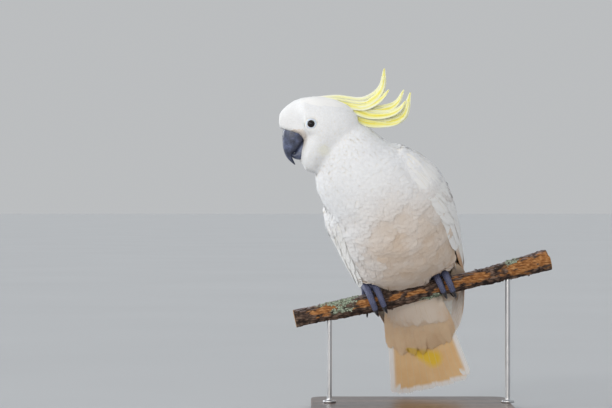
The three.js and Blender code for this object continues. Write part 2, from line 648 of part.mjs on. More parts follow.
const neck = solidOf(bodyBetween(NECK_FROM - 1 / SECTION.rings, 1, () => 0))
  .subtract(solidOf(belowNeck))
  .subtract(skullRoom);
bird.add(named("neck", geometryOf(largestBody(neck)), PLUMAGE));

export default model;
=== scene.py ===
"""A museum model of a sulphur-crested cockatoo that grips a cut length of branch on a plain stand."""

import math

import bmesh
import bpy
import numpy as np
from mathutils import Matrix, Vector, kdtree, noise as noise_field
from mathutils.bvhtree import BVHTree


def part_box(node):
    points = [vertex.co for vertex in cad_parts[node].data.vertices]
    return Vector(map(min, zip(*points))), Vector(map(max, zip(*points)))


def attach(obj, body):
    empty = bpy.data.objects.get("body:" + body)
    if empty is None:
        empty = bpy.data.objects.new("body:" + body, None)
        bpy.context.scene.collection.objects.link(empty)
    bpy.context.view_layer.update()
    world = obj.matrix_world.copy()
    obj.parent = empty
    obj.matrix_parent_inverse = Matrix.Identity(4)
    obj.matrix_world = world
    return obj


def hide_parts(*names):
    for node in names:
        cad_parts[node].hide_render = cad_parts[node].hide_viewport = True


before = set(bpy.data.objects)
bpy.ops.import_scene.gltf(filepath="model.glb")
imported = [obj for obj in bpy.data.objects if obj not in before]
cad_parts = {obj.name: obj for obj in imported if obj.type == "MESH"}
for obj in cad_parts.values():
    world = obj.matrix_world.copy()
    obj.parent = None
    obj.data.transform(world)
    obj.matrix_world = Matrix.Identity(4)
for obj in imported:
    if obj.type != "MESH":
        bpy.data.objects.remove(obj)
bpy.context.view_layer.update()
MM = 0.001
scene = bpy.context.scene


# ---------------------------------------------------------------- places on the bird
def corner_spot(node, across, deep, high):
    """A point in a node's box, by its shares of the box from left, front and bottom."""
    low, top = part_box(node)
    return np.array([low[i] + (top[i] - low[i]) * share for i, share in enumerate((across, deep, high))])


def middle(node):
    return corner_spot(node, 0.5, 0.5, 0.5)


def unit(vectors):
    """Vectors brought to length one, along the last axis."""
    vectors = np.asarray(vectors, float)
    return vectors / np.maximum(np.linalg.norm(vectors, axis=-1, keepdims=True), 1e-12)


UP = np.array([0.0, 0.0, 1.0])
EYES = {side: middle(f"eye_{side}") for side in ("left", "right")}
HEAD_LEFT = unit(EYES["left"] - EYES["right"])
HEAD_FORWARD = unit(np.cross(HEAD_LEFT, UP))
EYE_RADIUS = 6.5 * MM
BILL_ROOT = corner_spot("bill_upper", 0.75, 0.5, 0.85)
EYES_MIDDLE = (EYES["left"] + EYES["right"]) / 2
HEAD_SPOT = EYES_MIDDLE - HEAD_FORWARD * 9.7 * MM - UP * 5 * MM
SKULL = EYES_MIDDLE - HEAD_FORWARD * 10 * MM
# The line that the coat follows, from the bill over the head and down the body to the tail's end.
GUIDE = np.array([
    BILL_ROOT, SKULL, middle("neck"), middle("trunk"),
    corner_spot("trunk", 0.75, 0.8, 0.15), corner_spot("tail", 0.5, 0.95, 0),
])
# A straight line inside the body, from between the shoulders to between the wing tips.
SHOULDERS = np.array([-50, -46, 277]) * MM
WING_ENDS = np.array([28, 78, 42]) * MM


# ---------------------------------------------------------------- meshes
def smoothstep(low, high, value):
    share = np.clip((value - low) / (high - low), 0, 1)
    return share * share * (3 - 2 * share)


def new_piece(name, points, faces, material=None):
    """A smooth-shaded mesh object in the scene."""
    mesh = bpy.data.meshes.new(name)
    mesh.from_pydata(np.asarray(points, float).tolist(), [], [list(map(int, f)) for f in faces])
    shade_smooth(mesh)
    piece = bpy.data.objects.new(name, mesh)
    scene.collection.objects.link(piece)
    if material:
        mesh.materials.append(material)
    return piece


def keep_field(mesh, name, values, kind="FLOAT"):
    """Stores one number or vector for each point of a mesh."""
    attribute = mesh.attributes.new(name, kind, "POINT")
    target = "value" if kind in ("FLOAT", "INT") else "vector"
    attribute.data.foreach_set(target, np.asarray(values, np.float32 if kind != "INT" else np.int32).ravel())


def shade_smooth(mesh):
    mesh.polygons.foreach_set("use_smooth", [True] * len(mesh.polygons))


def move_points(piece, points):
    piece.data.vertices.foreach_set("co", points.astype(np.float32).ravel())
    piece.data.update()


def face_outwards(piece):
    bm = bmesh.new()
    bm.from_mesh(piece.data)
    bmesh.ops.recalc_face_normals(bm, faces=bm.faces)
    bm.to_mesh(piece.data)
    bm.free()


def ring_faces(rings, spokes):
    """The faces of a tube whose points run round it ring after ring."""
    faces = []
    for i in range(rings - 1):
        for j in range(spokes):
            k = (j + 1) % spokes
            faces.append((i * spokes + j, i * spokes + k, (i + 1) * spokes + k, (i + 1) * spokes + j))
    return faces


def place_tree(places):
    """A search tree over places, by their numbers."""
    tree = kdtree.KDTree(len(places))
    for i, place in enumerate(places.tolist()):
        tree.insert(place, i)
    tree.balance()
    return tree


def settle(piece):
    """Turns what a piece's modifiers make into its own plain mesh."""
    bpy.context.view_layer.update()
    shown = piece.evaluated_get(bpy.context.evaluated_depsgraph_get())
    mesh = bpy.data.meshes.new_from_object(shown)
    piece.modifiers.clear()
    piece.data = mesh
    mesh.name = piece.name
    return piece


def finished(piece, slot, *nodes):
    """Hands a piece to the frame: it rides on the one body and stands for these solids."""
    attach(piece, "root")
    if nodes:
        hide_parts(*nodes)
    return piece


def arrays_of(mesh):
    """A mesh's points and triangles as arrays."""
    mesh.calc_loop_triangles()
    points = np.empty(len(mesh.vertices) * 3, np.float32)
    mesh.vertices.foreach_get("co", points)
    faces = np.empty(len(mesh.loop_triangles) * 3, np.int32)
    mesh.loop_triangles.foreach_get("vertices", faces)
    return points.reshape(-1, 3).astype(float), faces.reshape(-1, 3)


class Surface:
    """Triangles that can be measured: nearest points, with smooth normals and fields kept at the corners."""

    def __init__(self, points, faces):
        self.points, self.faces = points, faces
        self.tree = BVHTree.FromPolygons(points.tolist(), faces.tolist())
        a, b, c = (points[faces[:, i]] for i in range(3))
        crossed = np.cross(b - a, c - a)
        self.areas = np.linalg.norm(crossed, axis=1) / 2
        normals = np.zeros_like(points)
        for i in range(3):
            for axis in range(3):
                normals[:, axis] += np.bincount(faces[:, i], crossed[:, axis], len(points))
        self.normals = unit(normals)
        pairs = np.vstack([faces[:, [0, 1]], faces[:, [1, 2]], faces[:, [2, 0]]])
        self.pairs = np.vstack([pairs, pairs[:, ::-1]])
        self.fields = {"normal": self.normals}

    def evened(self, values, rounds):
        """A field at the corners, averaged with its neighbours a few times."""
        values = np.array(values, float)
        flat = values.reshape(len(values), -1)
        count = np.bincount(self.pairs[:, 0], minlength=len(flat)).clip(1)
        for _ in range(rounds):
            for axis in range(flat.shape[1]):
                near = np.bincount(self.pairs[:, 0], flat[self.pairs[:, 1], axis], len(flat)) / count
                flat[:, axis] = (flat[:, axis] + near) / 2
        return flat.reshape(values.shape)

    def weights(self, face, places):
        a, b, c = (self.points[self.faces[face, i]] for i in range(3))
        ab, ac, ap = b - a, c - a, places - a
        bb, bc, cc = (ab * ab).sum(1), (ab * ac).sum(1), (ac * ac).sum(1)
        pb, pc = (ap * ab).sum(1), (ap * ac).sum(1)
        scale = np.maximum(bb * cc - bc * bc, 1e-18)
        v, w = (cc * pb - bc * pc) / scale, (bb * pc - bc * pb) / scale
        return np.clip(np.stack([1 - v - w, v, w], 1), 0, 1)

    def read(self, face, places, name):
        shares = self.weights(face, places)
        corners = self.fields[name][self.faces[face]]
        return np.einsum("ij,ij...->i...", shares, corners)

    def nearest(self, places):
        """The nearest points on the triangles, and which triangles they lie on."""
        hits = [self.tree.find_nearest(place) for place in places.tolist()]
        return np.array([hit[0][:] for hit in hits]), np.array([hit[2] for hit in hits])


# ---------------------------------------------------------------- node trees
def wire(tree, kind, inputs=None, **settings):
    """Adds a node; an input is a value or another node's output."""
    made = tree.nodes.new(kind)
    for name, value in settings.items():
        setattr(made, name, value)
    for name, value in (inputs or {}).items():
        socket = made.inputs[name]
        if isinstance(value, bpy.types.NodeSocket):
            tree.links.new(value, socket)
        else:
            socket.default_value = value
    return made


def maths(tree, operation, first, second=0.0, clamp=False):
    made = wire(tree, "ShaderNodeMath", {0: first, 1: second}, operation=operation, use_clamp=clamp)
    return made.outputs[0]


def vectors(tree, operation, *given):
    """What a vector sum makes of one or two vectors: a vector, and for a length a number."""
    return wire(tree, "ShaderNodeVectorMath", dict(enumerate(given)), operation=operation).outputs


def plus(tree, first, second):
    return maths(tree, "ADD", first, second)


def minus(tree, first, second, clamp=False):
    return maths(tree, "SUBTRACT", first, second, clamp)


def times(tree, first, second, clamp=False):
    return maths(tree, "MULTIPLY", first, second, clamp)


def sine(tree, turns):
    """A wave from -1 to 1, once for each whole turn."""
    return maths(tree, "SINE", times(tree, turns, 2 * math.pi))


def blended(tree, share, first, second, kind="MIX"):
    """One colour over another, by a share."""
    made = wire(tree, "ShaderNodeMix", {0: share, 6: first, 7: second}, data_type="RGBA", blend_type=kind)
    return made.outputs[2]


def graded(tree, value, *stops):
    """A number turned into a grey or a colour by stops of (position, colour)."""
    made = wire(tree, "ShaderNodeValToRGB", {0: value})
    ramp = made.color_ramp
    while len(ramp.elements) < len(stops):
        ramp.elements.new(1.0)
    for element, (position, colour) in zip(ramp.elements, stops):
        element.position = position
        element.color = (colour, colour, colour, 1) if isinstance(colour, (int, float)) else (*colour, 1)
    return made.outputs[0]


def new_finish(name, roughness=0.6, **sockets):
    """A material with one Principled shader; plain values go on the shader's own sockets."""
    material = bpy.data.materials.new(name)
    material.use_nodes = True
    tree = material.node_tree
    shader = next(n for n in tree.nodes if n.type == "BSDF_PRINCIPLED")
    shader.inputs["Roughness"].default_value = roughness
    for socket, value in sockets.items():
        shader.inputs[socket.replace("_", " ")].default_value = value
    return material, tree, shader


def place_of(tree):
    return wire(tree, "ShaderNodeTexCoord").outputs["Object"]


def stretched(tree, scale):
    """The piece's own places, scaled along its axes, so that a pattern on them is drawn out."""
    return wire(tree, "ShaderNodeMapping", {0: place_of(tree), "Scale": scale}).outputs[0]


def field(tree, name):
    """A number kept on the piece's points, for use in its material."""
    return wire(tree, "ShaderNodeAttribute", attribute_name=name).outputs["Fac"]


def noise(tree, scale, detail, place=None, **inputs):
    values = {"Vector": place or place_of(tree), "Scale": scale, "Detail": detail, **inputs}
    return wire(tree, "ShaderNodeTexNoise", values).outputs["Fac"]


def paint(tree, shader, value, socket="Base Color"):
    tree.links.new(value, shader.inputs[socket])


def bump(tree, shader, height, strength, distance):
    made = wire(tree, "ShaderNodeBump", {"Height": height, "Strength": strength, "Distance": distance})
    tree.links.new(made.outputs[0], shader.inputs["Normal"])


BARB_RELIEF = 0.0002


def barb_ridges(tree, shader, along, side, rows, slope, strength):
    """Fine ridges that run out from the shaft at a slant, and fade where the vane narrows to its tip."""
    slant = minus(tree, times(tree, along, rows), times(tree, side, slope))
    ridges = sine(tree, slant)
    faded = graded(tree, along, (0.72, 1.0), (0.93, 0.0))
    bump(tree, shader, times(tree, ridges, faded), strength, BARB_RELIEF)


def rgb(red, green, blue):
    return (red, green, blue, 1)


# ---------------------------------------------------------------- camera, light and floor
CAMERA_PLACE, SENSOR, LENS = (-0.126, -3.0, 0.2504), 36, 147.06
BIRD_MIDDLE = (-0.02, 0, 0.25)
LAMPS = [  # name, place, strength, spread in degrees, colour
    ("key", (-1.7, -1.1, 1.2), 0.76, 40, (0.97, 0.99, 1.0)),
    ("rim", (-1.6, 1.0, 0.8), 1.4, 35, (0.94, 0.97, 1.0)),
    ("glint", (-0.9, -1.6, 1.1), 0.34, 6, (1.0, 1.0, 1.0)),
    ("low", (-0.5, -3.0, 0.30), 1.25, 50, (1.0, 0.92, 0.83)),
]
# The air is palest overhead and as pale as the far floor at the horizon, so the two meet softly.
AIR = [(0.0, (0.50, 0.512, 0.522)), (0.10, (0.50, 0.512, 0.522)),
       (0.45, (0.51, 0.53, 0.56)), (1.0, (0.56, 0.59, 0.63))]
FLOOR_HALF = 60.0


def set_camera():
    camera = bpy.data.objects.new("camera", bpy.data.cameras.new("camera"))
    camera.data.sensor_width = SENSOR
    camera.data.lens = LENS
    camera.location = CAMERA_PLACE
    camera.rotation_euler = (math.pi / 2, 0, 0)
    scene.collection.objects.link(camera)
    scene.camera = camera


def add_light(name, place, strength, spread, colour):
    """A soft, far light that shines from a place towards the bird."""
    light = bpy.data.lights.new(name, "SUN")
    light.energy, light.angle, light.color = strength, math.radians(spread), colour
    lamp = bpy.data.objects.new(name, light)
    lamp.location = place
    lamp.rotation_euler = (Vector(BIRD_MIDDLE) - Vector(place)).to_track_quat("-Z", "Y").to_euler()
    scene.collection.objects.link(lamp)


def light_studio():
    scene.view_settings.view_transform = "Standard"
    for lamp in LAMPS:
        add_light(*lamp)
    world = bpy.data.worlds.new("studio air")
    world.use_nodes = True
    air = world.node_tree
    heading = wire(air, "ShaderNodeTexCoord").outputs["Generated"]
    height = wire(air, "ShaderNodeSeparateXYZ", {0: heading}).outputs[2]
    air.links.new(graded(air, height, *AIR), air.nodes["Background"].inputs[0])
    scene.world = world


def lay_floor():
    material, tree, shader = new_finish("pale studio floor", 0.9, Specular_IOR_Level=0.2)
    cloud = noise(tree, 1.5, 3)
    colour = graded(tree, cloud, (0.3, (0.525, 0.53, 0.53)), (0.7, (0.545, 0.55, 0.55)))
    paint(tree, shader, colour)
    bump(tree, shader, noise(tree, 60, 3), 0.02, 0.001)
    corners = [(x * FLOOR_HALF, y * FLOOR_HALF, 0) for x, y in ((-1, -1), (1, -1), (1, 1), (-1, 1))]
    floor = new_piece("studio_floor", corners, [(0, 1, 2, 3)], material)


set_camera()
light_studio()
lay_floor()


# ---------------------------------------------------------------- the skin
SKIN_VOXEL = 1.8 * MM
ARM_SHARE = 0.40  # how far down the folded wing its flesh reaches
SKIN_DEPTH = 0.19  # how deep the skin lies under the coat, as a share of the feathers' length


def wing_arm(bm, node):
    """The upper part of a folded wing's solid, cut square to the body and closed."""
    part = bmesh.new()
    part.from_mesh(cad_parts[node].data)
    bmesh.ops.remove_doubles(part, verts=part.verts, dist=1e-6)
    cut = SHOULDERS + (WING_ENDS - SHOULDERS) * ARM_SHARE
    bmesh.ops.bisect_plane(part, geom=part.verts[:] + part.edges[:] + part.faces[:], plane_co=cut,
                           plane_no=WING_ENDS - SHOULDERS, clear_outer=True)
    bmesh.ops.holes_fill(part, edges=[e for e in part.edges if e.is_boundary])
    mesh = bpy.data.meshes.new("arm")
    part.to_mesh(mesh)
    bm.from_mesh(mesh)
    part.free()
    bpy.data.meshes.remove(mesh)


def largest_part(piece):
    """Deletes all but the largest connected part of a piece's mesh."""
    bm = bmesh.new()
    bm.from_mesh(piece.data)
    bm.verts.ensure_lookup_table()
    seen = np.zeros(len(bm.verts), bool)
    parts = []
    for first in bm.verts:
        if seen[first.index]:
            continue
        seen[first.index] = True
        part, edge = [first], [first]
        while edge:
            following = []
            for vert in edge:
                for link in vert.link_edges:
                    other = link.other_vert(vert)
                    if not seen[other.index]:
                        seen[other.index] = True
                        following.append(other)
            part += following
            edge = following
        parts.append(part)
    parts.sort(key=len)
    bmesh.ops.delete(bm, geom=[v for part in parts[:-1] for v in part], context="VERTS")
    bm.to_mesh(piece.data)
    bm.free()


def smooth_copy(name, nodes, voxel, rounds, arms=()):
    """One closed, smooth mesh round copies of some solids, with the cuts between them healed."""
    bm = bmesh.new()
    for node in nodes:
        bm.from_mesh(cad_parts[node].data)
    for node in arms:
        wing_arm(bm, node)
    bmesh.ops.remove_doubles(bm, verts=bm.verts, dist=1e-6)
    piece = new_piece(name, [], [])
    bm.to_mesh(piece.data)
    bm.free()
    remesh = piece.modifiers.new("heal", "REMESH")
    remesh.mode, remesh.voxel_size = "VOXEL", voxel
    soften = piece.modifiers.new("soften", "SMOOTH")
    soften.factor, soften.iterations = 0.5, rounds
    settle(piece)
    largest_part(piece)
    return piece


def along_guide(places):
    """For each place: how far along the guide line it lies, and the line's heading there."""
    starts, steps = GUIDE[:-1], np.diff(GUIDE, axis=0)
    lengths = np.linalg.norm(steps, axis=1)
    before = np.concatenate([[0], np.cumsum(lengths)[:-1]])
    away = places[:, None] - starts[None]
    share = np.clip((away * steps).sum(2) / lengths**2, 0, 1)
    gaps = np.linalg.norm(away - share[..., None] * steps, axis=2)
    pull = np.exp(-((gaps - gaps.min(1, keepdims=True)) / (14 * MM)) ** 2)
    pull /= pull.sum(1, keepdims=True)
    run = (pull * (before + share * lengths)).sum(1)
    return run, unit((pull[..., None] * (steps / lengths[:, None])).sum(1))


GUIDE_RUN = np.linalg.norm(np.diff(GUIDE, axis=0), axis=1).sum()
# Feather length along the guide line: tiny round the bill, long on the breast and longest under the tail.
FEATHER_RUN = np.array([0, 14, 34, 55, 80, 110, 150, 200, 250, 300]) * MM
FEATHER_LENGTH = np.array([3.0, 4.2, 6.5, 9, 12.5, 16, 20, 22, 24, 27]) * MM
SHORTEST = 3.0 * MM
# How far forward of the eyes the cheeks reach at each height.
FACE_HEIGHTS = np.array([286, 295, 305, 315, 325, 338]) * MM
FACE_FRONTS = np.array([4, 6.8, 10.5, 9.1, 6.6, 8]) * MM
CHIN, JAW, BROW, CROWN = (height * MM for height in (284, 298, 338, 364))
BROW_FOOT = 328 * MM  # the brow's shape fades into the cheeks' between here and BROW
HEAD_HALF = 12 * MM  # how far behind the eyes the cheeks start to round in


def narrow_face(points):
    """Rounds the cheeks in towards the bill and tapers the brow over it."""
    away = points - EYES_MIDDLE
    ahead, aside = away @ HEAD_FORWARD, away @ HEAD_LEFT
    front = np.interp(points[:, 2], FACE_HEIGHTS, FACE_FRONTS)
    turn = np.clip((ahead + HEAD_HALF) / (front + HEAD_HALF), 0, 1)
    cheeks = 0.45 + 0.55 * np.sqrt(1 - turn**2)
    brow = 1 - 0.42 * smoothstep(5 * MM, 21 * MM, ahead)
    low = smoothstep(BROW, BROW_FOOT, points[:, 2])
    share = cheeks * low + brow * (1 - low)
    above_chin = smoothstep(CHIN, JAW, points[:, 2])
    share = 1 + (share - 1) * above_chin
    # Beside the bill the brow slopes back into the cheek.
    beside = smoothstep(6 * MM, 22 * MM, np.abs(aside * share)) * above_chin
    beside *= smoothstep(CROWN, BROW, points[:, 2])
    past_eye = np.maximum(ahead - 2 * MM, 0)
    back = past_eye**2 / (past_eye + 4 * MM) * 0.65 * beside
    moved = HEAD_LEFT * (aside * (share - 1))[:, None] - HEAD_FORWARD * back[:, None]
    # The lids and the plumage close round them stay where they are.
    eye_gap = np.hypot(ahead, points[:, 2] - EYES["left"][2])
    return points + moved * smoothstep(6.5 * MM, 13 * MM, eye_gap)[:, None]


def grow_skin():
    """The one skin under the plumage, with its lids, and the fields that the plumage reads from it."""
    flesh = ["head", "neck", "trunk", "leg_left", "leg_right", "eye_left", "eye_right"]
    skin = smooth_copy("skin", flesh, SKIN_VOXEL, 4, arms=["wing_left", "wing_right"])
    points, faces = arrays_of(skin.data)
    points = narrow_face(points)
    surface = Surface(points, faces)
    run, heading = along_guide(points)
    eye_gap = np.min([np.linalg.norm(points - eye, axis=1) for eye in EYES.values()], axis=0)
    bill_gap = np.linalg.norm(points - BILL_ROOT, axis=1)
    length = np.interp(run, FEATHER_RUN, FEATHER_LENGTH)
    for gap, free, growth in ((bill_gap, 12 * MM, 0.22), (eye_gap, 8 * MM, 0.30)):
        length = np.minimum(length, SHORTEST + growth * np.maximum(gap - free, 0))
    length = surface.evened(length, 12)
    outward = unit(points - BILL_ROOT)
    near_bill = np.exp(-((bill_gap / (34 * MM)) ** 2))[:, None]
    flow = heading * (1 - near_bill) + outward * near_bill * 1.6
    for side in ("left", "right"):
        ankle = corner_spot(f"foot_{side}", 0.5, 0.45, 0.62)
        toward = ankle - points
        pull = np.exp(-((np.linalg.norm(toward, axis=1) / (26 * MM)) ** 2))[:, None]
        flow = flow * (1 - 0.8 * pull) + unit(toward) * pull * 0.8
    for _ in range(4):
        flow -= surface.normals * (flow * surface.normals).sum(1)[:, None]
        flow = surface.evened(unit(flow), 8)
    flow = unit(flow - surface.normals * (flow * surface.normals).sum(1)[:, None])
    depth = SKIN_DEPTH * length
    inner = points - surface.evened(surface.normals, 3) * depth[:, None]
    move_points(skin, inner)
    inside = Surface(inner, faces)
    inside.fields.update(length=length, flow=flow, run=run, depth=depth)
    return skin, inside


LID_HEIGHT = 5.04 * MM  # where the open eye meets the lids, out from the eyeball's middle
# The lids' section: how far out from LID_HEIGHT they rise at each distance from the eye's axis.
LID_GAPS = np.array([0, 3.7, 4.1, 4.35, 4.8, 5.3, 5.7, 6.2, 20]) * MM
LID_RISES = np.array([-3.2, -1.6, 0.0, 0.40, 0.58, 0.36, 0.14, 0.0, -0.3]) * MM


def round_eye(places):
    """Each place's eye, its distance from that eye's axis, and its height out along the axis."""
    centres = np.array([EYES["left"], EYES["right"]])
    near = np.argmin([np.linalg.norm(places - centre, axis=1) for centre in centres], axis=0)
    axes = np.array([HEAD_LEFT, -HEAD_LEFT])[near]
    away = places - centres[near]
    height = (away * axes).sum(1)
    around = away - axes * height[:, None]
    return axes, np.linalg.norm(around, axis=1), height, around


def shape_lids(skin):
    """Cuts the skin finer round each eye and shapes its edge into a bare, puffy ring of lids."""
    bm = bmesh.new()
    bm.from_mesh(skin.data)
    centres = [Vector(eye) for eye in EYES.values()]
    for _ in range(2):
        near = [e for e in bm.edges if min((e.verts[0].co - c).length for c in centres) < 12 * MM]
        bmesh.ops.subdivide_edges(bm, edges=near, cuts=1, use_grid_fill=True)
    bmesh.ops.triangulate(bm, faces=[f for f in bm.faces if len(f.verts) > 4])
    bm.to_mesh(skin.data)
    bm.free()
    shade_smooth(skin.data)
    points, _ = arrays_of(skin.data)
    axes, gap, height, around = round_eye(points)
    turn = np.arctan2(around @ UP, around @ HEAD_FORWARD)
    folds = 0.10 * np.sin(turn * 17 + 3 * np.sin(turn * 3)) + 0.08 * np.sin(turn * 41 + 1)
    target = np.interp(gap, LID_GAPS, LID_HEIGHT + LID_RISES)
    target += folds * MM * smoothstep(4.3 * MM, 5.2 * MM, gap)
    share = (1 - smoothstep(5.4 * MM, 7.4 * MM, gap)) * (height > 0)
    points += axes * ((target - height) * share)[:, None]
    move_points(skin, points)
    keep_field(skin.data, "ring", (1 - smoothstep(6.0 * MM, 6.9 * MM, gap)) * (height > 0))


def skin_finish():
    material, tree, shader = new_finish("downy skin", 0.7, Subsurface_Weight=0.1)
    cloud = noise(tree, 300, 4)
    down = graded(tree, cloud, (0.35, (0.80, 0.75, 0.68)), (0.65, (0.86, 0.83, 0.78)))
    bare = graded(tree, noise(tree, 1500, 3), (0.35, (0.68, 0.72, 0.80)), (0.65, (0.80, 0.83, 0.88)))
    paint(tree, shader, blended(tree, field(tree, "ring"), down, bare))
    bump(tree, shader, noise(tree, 900, 3), 0.3, 0.0004)
    return material


skin, skin_form = grow_skin()
shape_lids(skin)
skin.data.materials.append(skin_finish())
finished(skin, "plumage", "head", "neck", "trunk", "leg_left", "leg_right")


# ---------------------------------------------------------------- the coat of small feathers
WEB_END = 0.93  # how far up a small feather its closed web reaches; the barbs go on from there
TIP_TURN = 0.3  # the share of the edge's barbs, from the middle out, that stand on the tip itself


def vane_template(name, rows, columns, teeth, widest, root, seed):
    """A unit feather along +Y: a cupped vane, and fine barbs that fray its edge."""
    rng = np.random.default_rng(seed)

    def half_width(s):
        rising = root + (0.5 - root) * np.minimum(s / widest, 1) ** 0.6
        falling = 0.5 * np.sqrt(np.clip(1 - ((s - widest) / (1.02 - widest)) ** 2, 0.02, 1))
        return np.where(s < widest, rising, falling)

    def place(side, s):
        return (side * half_width(s), s, -0.06 * side * side * half_width(s))

    points, along, across, faces = [], [], [], []
    shares = np.linspace(0, 1, rows + 1) ** 0.8 * WEB_END
    for s in shares:
        for side in np.linspace(-1, 1, columns + 1):
            points.append(place(side, s))
            along.append(s)
            across.append(side)
    for i in range(rows):
        for j in range(columns):
            a = i * (columns + 1) + j
            faces.append((a, a + 1, a + columns + 2, a + columns + 1))
    # Barbs leave the edge from a third of the way up, round the tip and down the other side.
    edge = np.linspace(-1, 1, teeth + 1)
    for k in range(teeth):
        base = []
        for e in (edge[k], edge[k + 1]):
            turn = abs(e)
            s = WEB_END - 0.62 * max(turn - TIP_TURN, 0) / (1 - TIP_TURN)
            side = (e / TIP_TURN if turn < TIP_TURN else math.copysign(1, e)) * 0.94
            base.append((side, s * 0.985))
        middle_side = (base[0][0] + base[1][0]) / 2
        middle_share = (base[0][1] + base[1][1]) / 2
        reach = 0.025 + 0.07 * rng.random() ** 1.6
        tip = np.array(place(middle_side, middle_share))
        lean = 0.35 + 0.65 * (1 - abs((edge[k] + edge[k + 1]) / 2))
        tip += np.array([middle_side * (1 - lean) * 0.8, lean + 0.35, 0]) * reach
        first = len(points)
        for side, s in base:
            points.append(place(side, s))
            along.append(s)
            across.append(side)
        points.append(tuple(tip + np.array([rng.normal() * 0.03, 0, rng.normal() * 0.006])))
        along.append(min(1.0, middle_share + reach))
        across.append(middle_side)
        faces.append((first + 1, first, first + 2))
    mesh = bpy.data.meshes.new(name)
    mesh.from_pydata([tuple(map(float, p)) for p in points], [], faces)
    shade_smooth(mesh)
    keep_field(mesh, "along", along)
    keep_field(mesh, "side", across)
    return bpy.data.objects.new(name, mesh)


def vane_set(zone, seed, **shape):
    """The three unlike vanes that one zone's feathers are picked from."""
    return [vane_template(f"{zone}_vane_{k}", seed=seed + k, **shape) for k in range(3)]


def coat_tree():
    """Sets a feather on every point, bends it along the body and gives it its patch of the bake map."""
    tree = bpy.data.node_groups.new("coat of feathers", "GeometryNodeTree")
    sockets = tree.interface
    sockets.new_socket("Roots", in_out="INPUT", socket_type="NodeSocketGeometry")
    for vane in ("Vane A", "Vane B", "Vane C"):
        sockets.new_socket(vane, in_out="INPUT", socket_type="NodeSocketObject")
    sockets.new_socket("Patch", in_out="INPUT", socket_type="NodeSocketFloat")
    sockets.new_socket("Finish", in_out="INPUT", socket_type="NodeSocketMaterial")
    sockets.new_socket("Coat", in_out="OUTPUT", socket_type="NodeSocketGeometry")
    given = wire(tree, "NodeGroupInput")

    def named(name, kind="FLOAT_VECTOR"):
        made = wire(tree, "GeometryNodeInputNamedAttribute", {"Name": name}, data_type=kind)
        return made.outputs["Attribute"]

    vanes = wire(tree, "GeometryNodeJoinGeometry")
    for vane in ("Vane A", "Vane B", "Vane C"):
        info = wire(tree, "GeometryNodeObjectInfo", {"Object": given.outputs[vane], "As Instance": True})
        tree.links.new(info.outputs["Geometry"], vanes.inputs[0])
    lie, up = named("lie"), named("up")
    turn = wire(tree, "FunctionNodeAxesToRotation", {"Primary Axis": lie, "Secondary Axis": up},
                primary_axis="Y", secondary_axis="Z")
    placed = wire(tree, "GeometryNodeInstanceOnPoints", {
        "Points": given.outputs["Roots"], "Instance": vanes.outputs[0], "Pick Instance": True,
        "Instance Index": named("kind", "INT"), "Rotation": turn.outputs[0], "Scale": named("size"),
    })
    real = wire(tree, "GeometryNodeRealizeInstances", {0: placed.outputs[0]})
    share = named("along", "FLOAT")
    arch = times(tree, times(tree, share, minus(tree, 1.0, share)), 4.0)
    offset = wire(tree, "ShaderNodeVectorMath", {0: named("bow"), "Scale": arch}, operation="SCALE")
    bent = wire(tree, "GeometryNodeSetPosition", {"Geometry": real.outputs[0], "Offset": offset.outputs[0]})
    local = wire(tree, "ShaderNodeCombineXYZ", {"X": named("side", "FLOAT"), "Y": share})
    patch = wire(tree, "ShaderNodeVectorMath", {0: local.outputs[0], "Scale": given.outputs["Patch"]},
                 operation="SCALE")
    spot = vectors(tree, "ADD", named("root_spot"), patch.outputs[0])
    mapped = wire(tree, "GeometryNodeStoreNamedAttribute",
                  {"Geometry": bent.outputs[0], "Name": "OFBake", "Value": spot[0]},
                  data_type="FLOAT2", domain="CORNER")
    coloured = wire(tree, "GeometryNodeSetMaterial",
                    {"Geometry": mapped.outputs[0], "Material": given.outputs["Finish"]})
    made = wire(tree, "NodeGroupOutput")
    tree.links.new(coloured.outputs[0], made.inputs[0])
    return tree


ROOT_VECTORS = ("lie", "up", "bow", "size", "root_spot")
PATCH = 0.003  # how wide each small feather's patch of the bake map is


def field_values(mesh, name):
    """What keep_field stored, as an array."""
    attribute = mesh.attributes[name]
    vector = attribute.data_type == "FLOAT_VECTOR"
    values = np.empty(len(attribute.data) * (3 if vector else 1), np.float32)
    attribute.data.foreach_get("vector" if vector else "value", values)
    return values.reshape(-1, 3) if vector else values


def grow_coat(name, roots, vanes, finish_used):
    """One coat piece from its roots, a dictionary of arrays."""
    cloud = bpy.data.meshes.new(name)
    cloud.from_pydata(roots["place"].tolist(), [], [])
    for key in ROOT_VECTORS:
        keep_field(cloud, key, roots[key], "FLOAT_VECTOR")
    for key in ("tone", "warm", "yellow"):
        keep_field(cloud, key, roots[key])
    keep_field(cloud, "kind", roots["kind"], "INT")
    piece = bpy.data.objects.new(name, cloud)
    scene.collection.objects.link(piece)
    modifier = piece.modifiers.new("coat", "NODES")
    modifier.node_group = COAT_TREE
    values = {"Vane A": vanes[0], "Vane B": vanes[1], "Vane C": vanes[2],
              "Patch": PATCH / 2, "Finish": finish_used}
    for socket in COAT_TREE.interface.items_tree:
        if socket.in_out == "INPUT" and socket.name in values:
            modifier[socket.identifier] = values[socket.name]
    settle(piece)
    for key in (*ROOT_VECTORS, "kind"):
        if key in piece.data.attributes:
            piece.data.attributes.remove(piece.data.attributes[key])
    return piece


